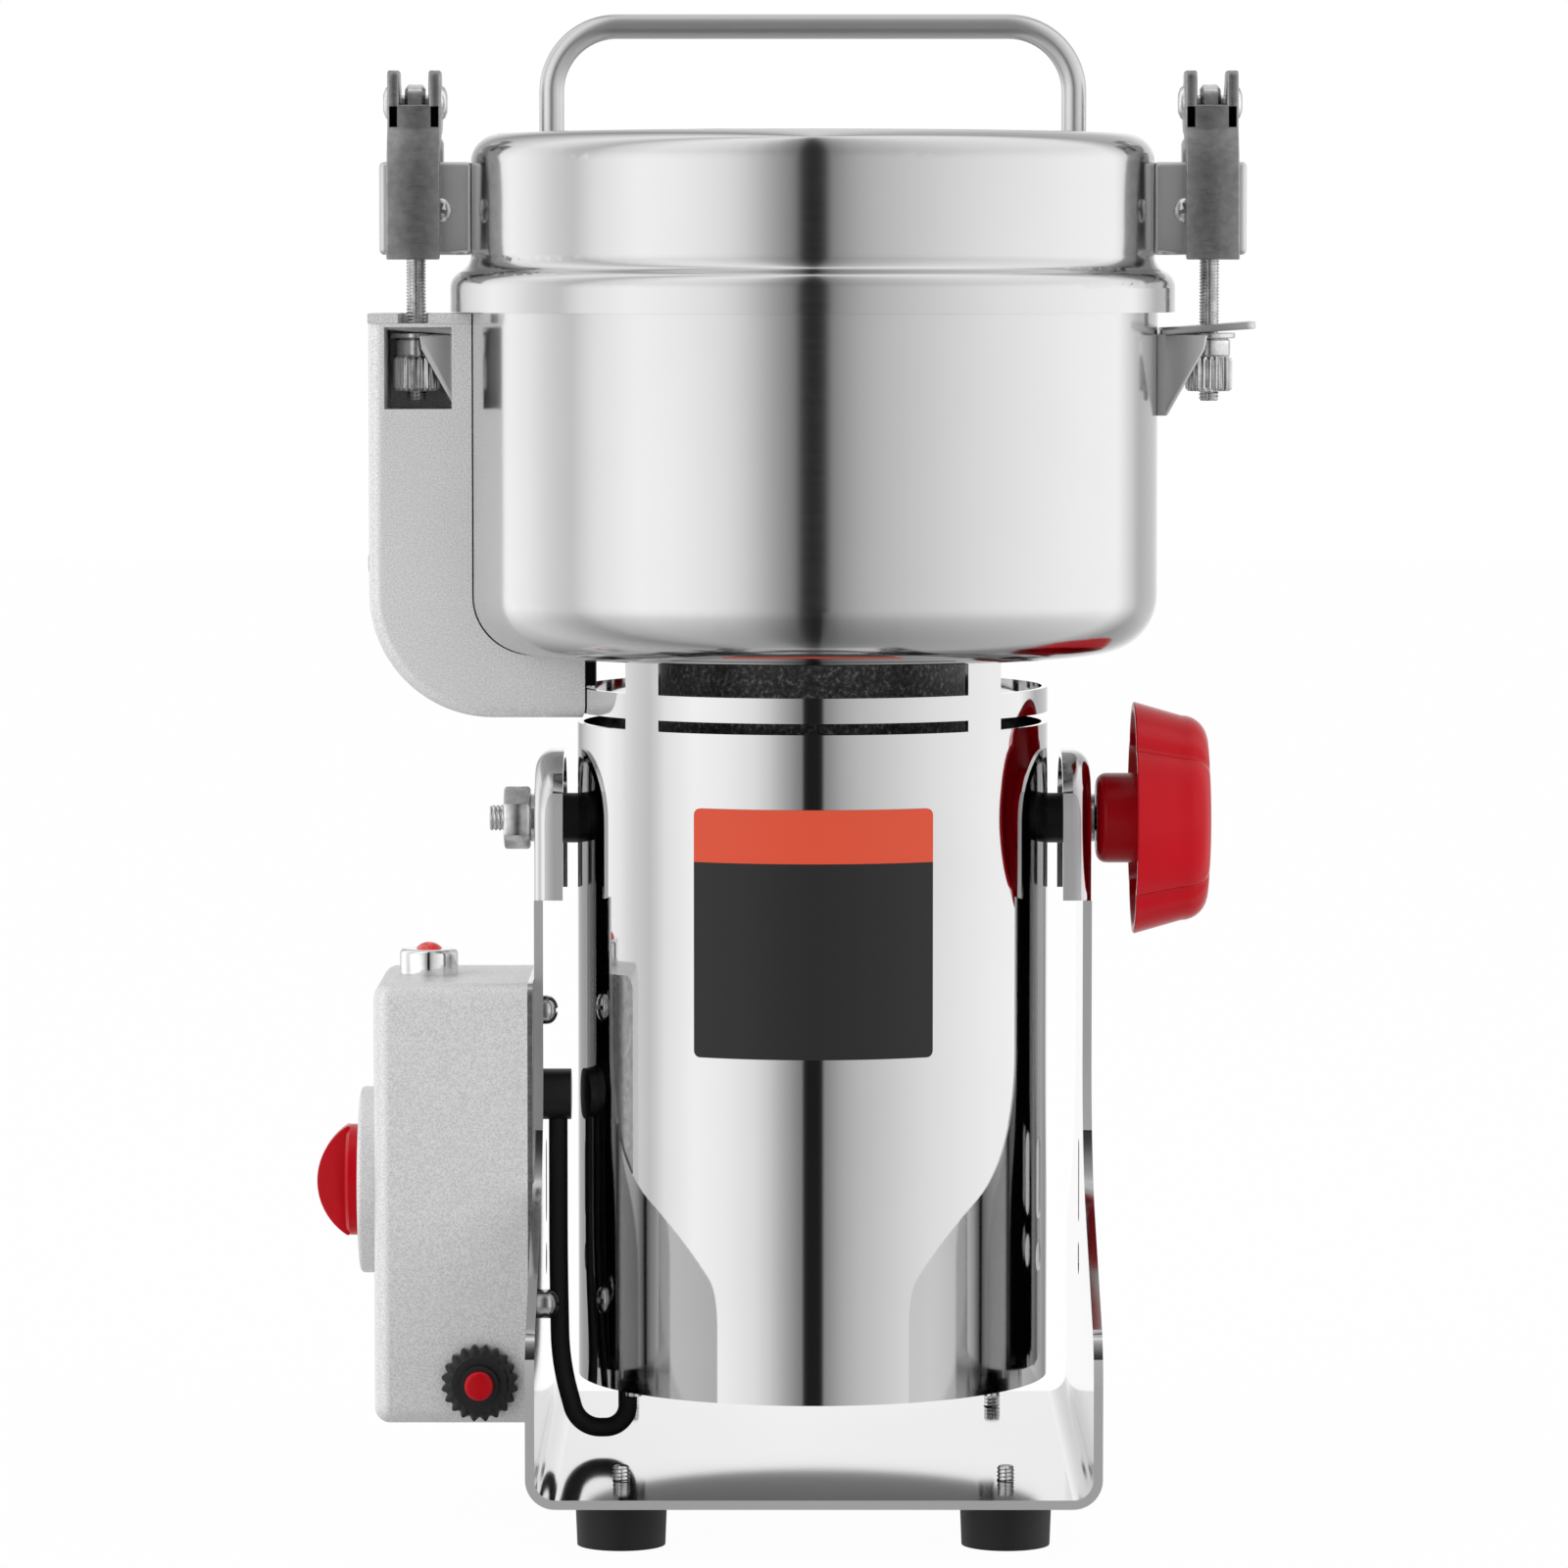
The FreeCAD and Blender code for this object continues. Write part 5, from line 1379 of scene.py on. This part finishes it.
def guardRing(values, y, inset):
    outer = values["reach"] - inset
    low = values["low"] + inset
    bend = values["outerRound"] - inset
    top = values["top"]
    bowl = sqrt(values["bowl"] ** 2 - y * y)
    armEnd = sqrt(values["armEnd"] ** 2 - y * y)
    corner = values["bowlCorner"]
    cornerX = corner - values["bowl"]
    cornerLevel = values["bowlLow"] + corner
    lean = (values["bowl"] - bowl) * values["armLean"]
    points = [(-outer, top), (-outer, low + bend + values["straight"])]
    points += arcPoints((bend - outer, low + bend), bend, 180, 270, 20)
    points += [(-armEnd, low), (-armEnd, values["armHigh"])]
    points += [(cornerX + lean + values["armRun"], values["bowlLow"])]
    for step in range(13):
        angle = radians(270 - 90 * step / 12)
        x = cornerX + corner * cos(angle)
        points.append((-sqrt(max(x * x - y * y, 1.0)), cornerLevel + corner * sin(angle)))
    points.append((-bowl, top))
    return [(mx + px, y, pz) for px, pz in points]


def makeGuard(values):
    edge = values["edge"]
    half = values["halfDepth"]
    rings = []
    for step in range(7):
        angle = pi / 2 * step / 6
        rings.append(guardRing(values, -half + edge * (1 - cos(angle)), edge * (1 - sin(angle))))
    for share in (0.2, 0.4, 0.6, 0.8):
        rings.append(guardRing(values, (half - edge) * (2 * share - 1), 0.0))
    rings += [guardRing(values, half - edge * (1 - sin(a)), edge * (1 - cos(a)))
              for a in (pi / 2 * i / 6 for i in range(7))]
    housing = ringStack("guardHousingSkin", rings)
    (x0, x1), (z0, z1), (y0, y1) = values["windowX"], values["windowLevels"], values["windowDepth"]
    outline = [(x0, z0), (x1, z0), (x1, z1), (x0, z1)]
    place = moved(0, (y0 + y1) / 2) @ facingFront
    window = slab("window", outline, y1 - y0, place)
    carve(housing, [window])
    hand(housing, "grinder", ["guard_housing"], "speckledPaint", 32)


makeGuard(guard)
print("guard made")


# Studio: pale floor, a soft lamp on each side, and a bright surround with a narrow dark gap behind the camera.
studio = {
    "floorHalf": 6.0,
    "floorColour": 0.86,
    "floorGlow": 0.975,
    "surroundHigh": 1.5,
    "lampReach": 1.35,
    "lampForward": -0.9,
    "lampHigh": 0.75,
    "lampTall": 1.4,
    "aimHigh": 0.18,
    "lampSize": 0.9,
    "lampPower": 5.0,
}


def makeWorld(values):
    world = bpy.data.worlds.new("studioSurround")
    scene.world = world
    shader = Shader(world)
    x, y, z = shader.axes(shader.node("ShaderNodeTexCoord", output=0))
    aside = x.maths("ARCTAN2", -y)
    turn = aside / (2 * pi) + 0.5
    ring = shader.greys(
        turn,
        (0.0, 0.75), (0.05, 0.30), (0.113, 0.70), (0.161, 0.91), (0.198, 0.81), (0.23, 0.63),
        (0.2585, 0.54), (0.285, 0.77), (0.333, 0.92), (0.3775, 0.87), (0.4195, 0.745), (0.44, 0.60),
        (0.46, 0.40), (0.48, 0.23), (0.486, 0.20), (0.4885, 0.012), (0.5115, 0.012), (0.514, 0.22),
        (0.52, 0.26), (0.54, 0.40), (0.56, 0.485), (0.58, 0.54), (0.6225, 0.65), (0.6665, 0.745),
        (0.715, 0.81), (0.77, 0.87), (0.839, 0.895), (0.887, 0.41), (0.95, 0.50), (1.0, 0.75),
    )
    height = z * 0.5 + 0.5
    rise = shader.greys(
        height, (0.0, 0.35), (0.30, 0.7), (0.42, 1.0), (0.56, 1.0), (0.72, 0.85), (1.0, 0.9)
    )
    product = {"data_type": "RGBA", "blend_type": "MULTIPLY"}
    pattern = shader.node("ShaderNodeMix", product, output=2, input0=1.0, input6=ring, input7=rise)
    lightPath = shader.tree.nodes.new("ShaderNodeLightPath")
    seen = Wire(shader.tree, lightPath.outputs["Is Camera Ray"])
    glow = shader.node("ShaderNodeBackground", Color=pattern, Strength=values["surroundHigh"])
    white = shader.node("ShaderNodeBackground", Color=grey(1.0), Strength=1.0)
    both = shader.node("ShaderNodeMixShader", input0=seen, input1=glow, input2=white)
    shader.finish(both, "ShaderNodeOutputWorld")


def makeFloor(values):
    half = values["floorHalf"]
    data = bpy.data.meshes.new("floor")
    corners = [(-half, -half, 0), (half, -half, 0), (half, half, 0), (-half, half, 0)]
    data.from_pydata(corners, [], [(0, 1, 2, 3)])
    floor = bpy.data.objects.new("floor", data)
    rootCollection.objects.link(floor)
    material = bpy.data.materials.new("paleFloor")
    shader = Shader(material)
    matt = shader.node("ShaderNodeBsdfDiffuse", Color=grey(values["floorColour"]))
    glow = shader.node("ShaderNodeEmission", Color=grey(1.0), Strength=1.0)
    lightPath = shader.tree.nodes.new("ShaderNodeLightPath")
    seen = Wire(shader.tree, lightPath.outputs["Is Camera Ray"])
    share = seen * values["floorGlow"]
    shader.finish(shader.node("ShaderNodeMixShader", input0=share, input1=matt, input2=glow))
    data.materials.append(material)
    floor.visible_glossy = False


def makeLamp(name, side, values):
    data = bpy.data.lights.new(name, "AREA")
    data.shape = "RECTANGLE"
    data.size = values["lampSize"]
    data.size_y = values["lampSize"] * values["lampTall"]
    data.energy = values["lampPower"]
    lamp = bpy.data.objects.new(name, data)
    place = Vector((side * values["lampReach"], values["lampForward"], values["lampHigh"]))
    lamp.location = place
    lamp.rotation_euler = (Vector((0, 0, values["aimHigh"])) - place).to_track_quat("-Z", "Y").to_euler()
    lamp.visible_glossy = False
    rootCollection.objects.link(lamp)


makeWorld(studio)
makeFloor(studio)
makeLamp("softLampLeft", -1, studio)
makeLamp("softLampRight", 1, studio)
scene.view_settings.view_transform = "Standard"
print("studio made")
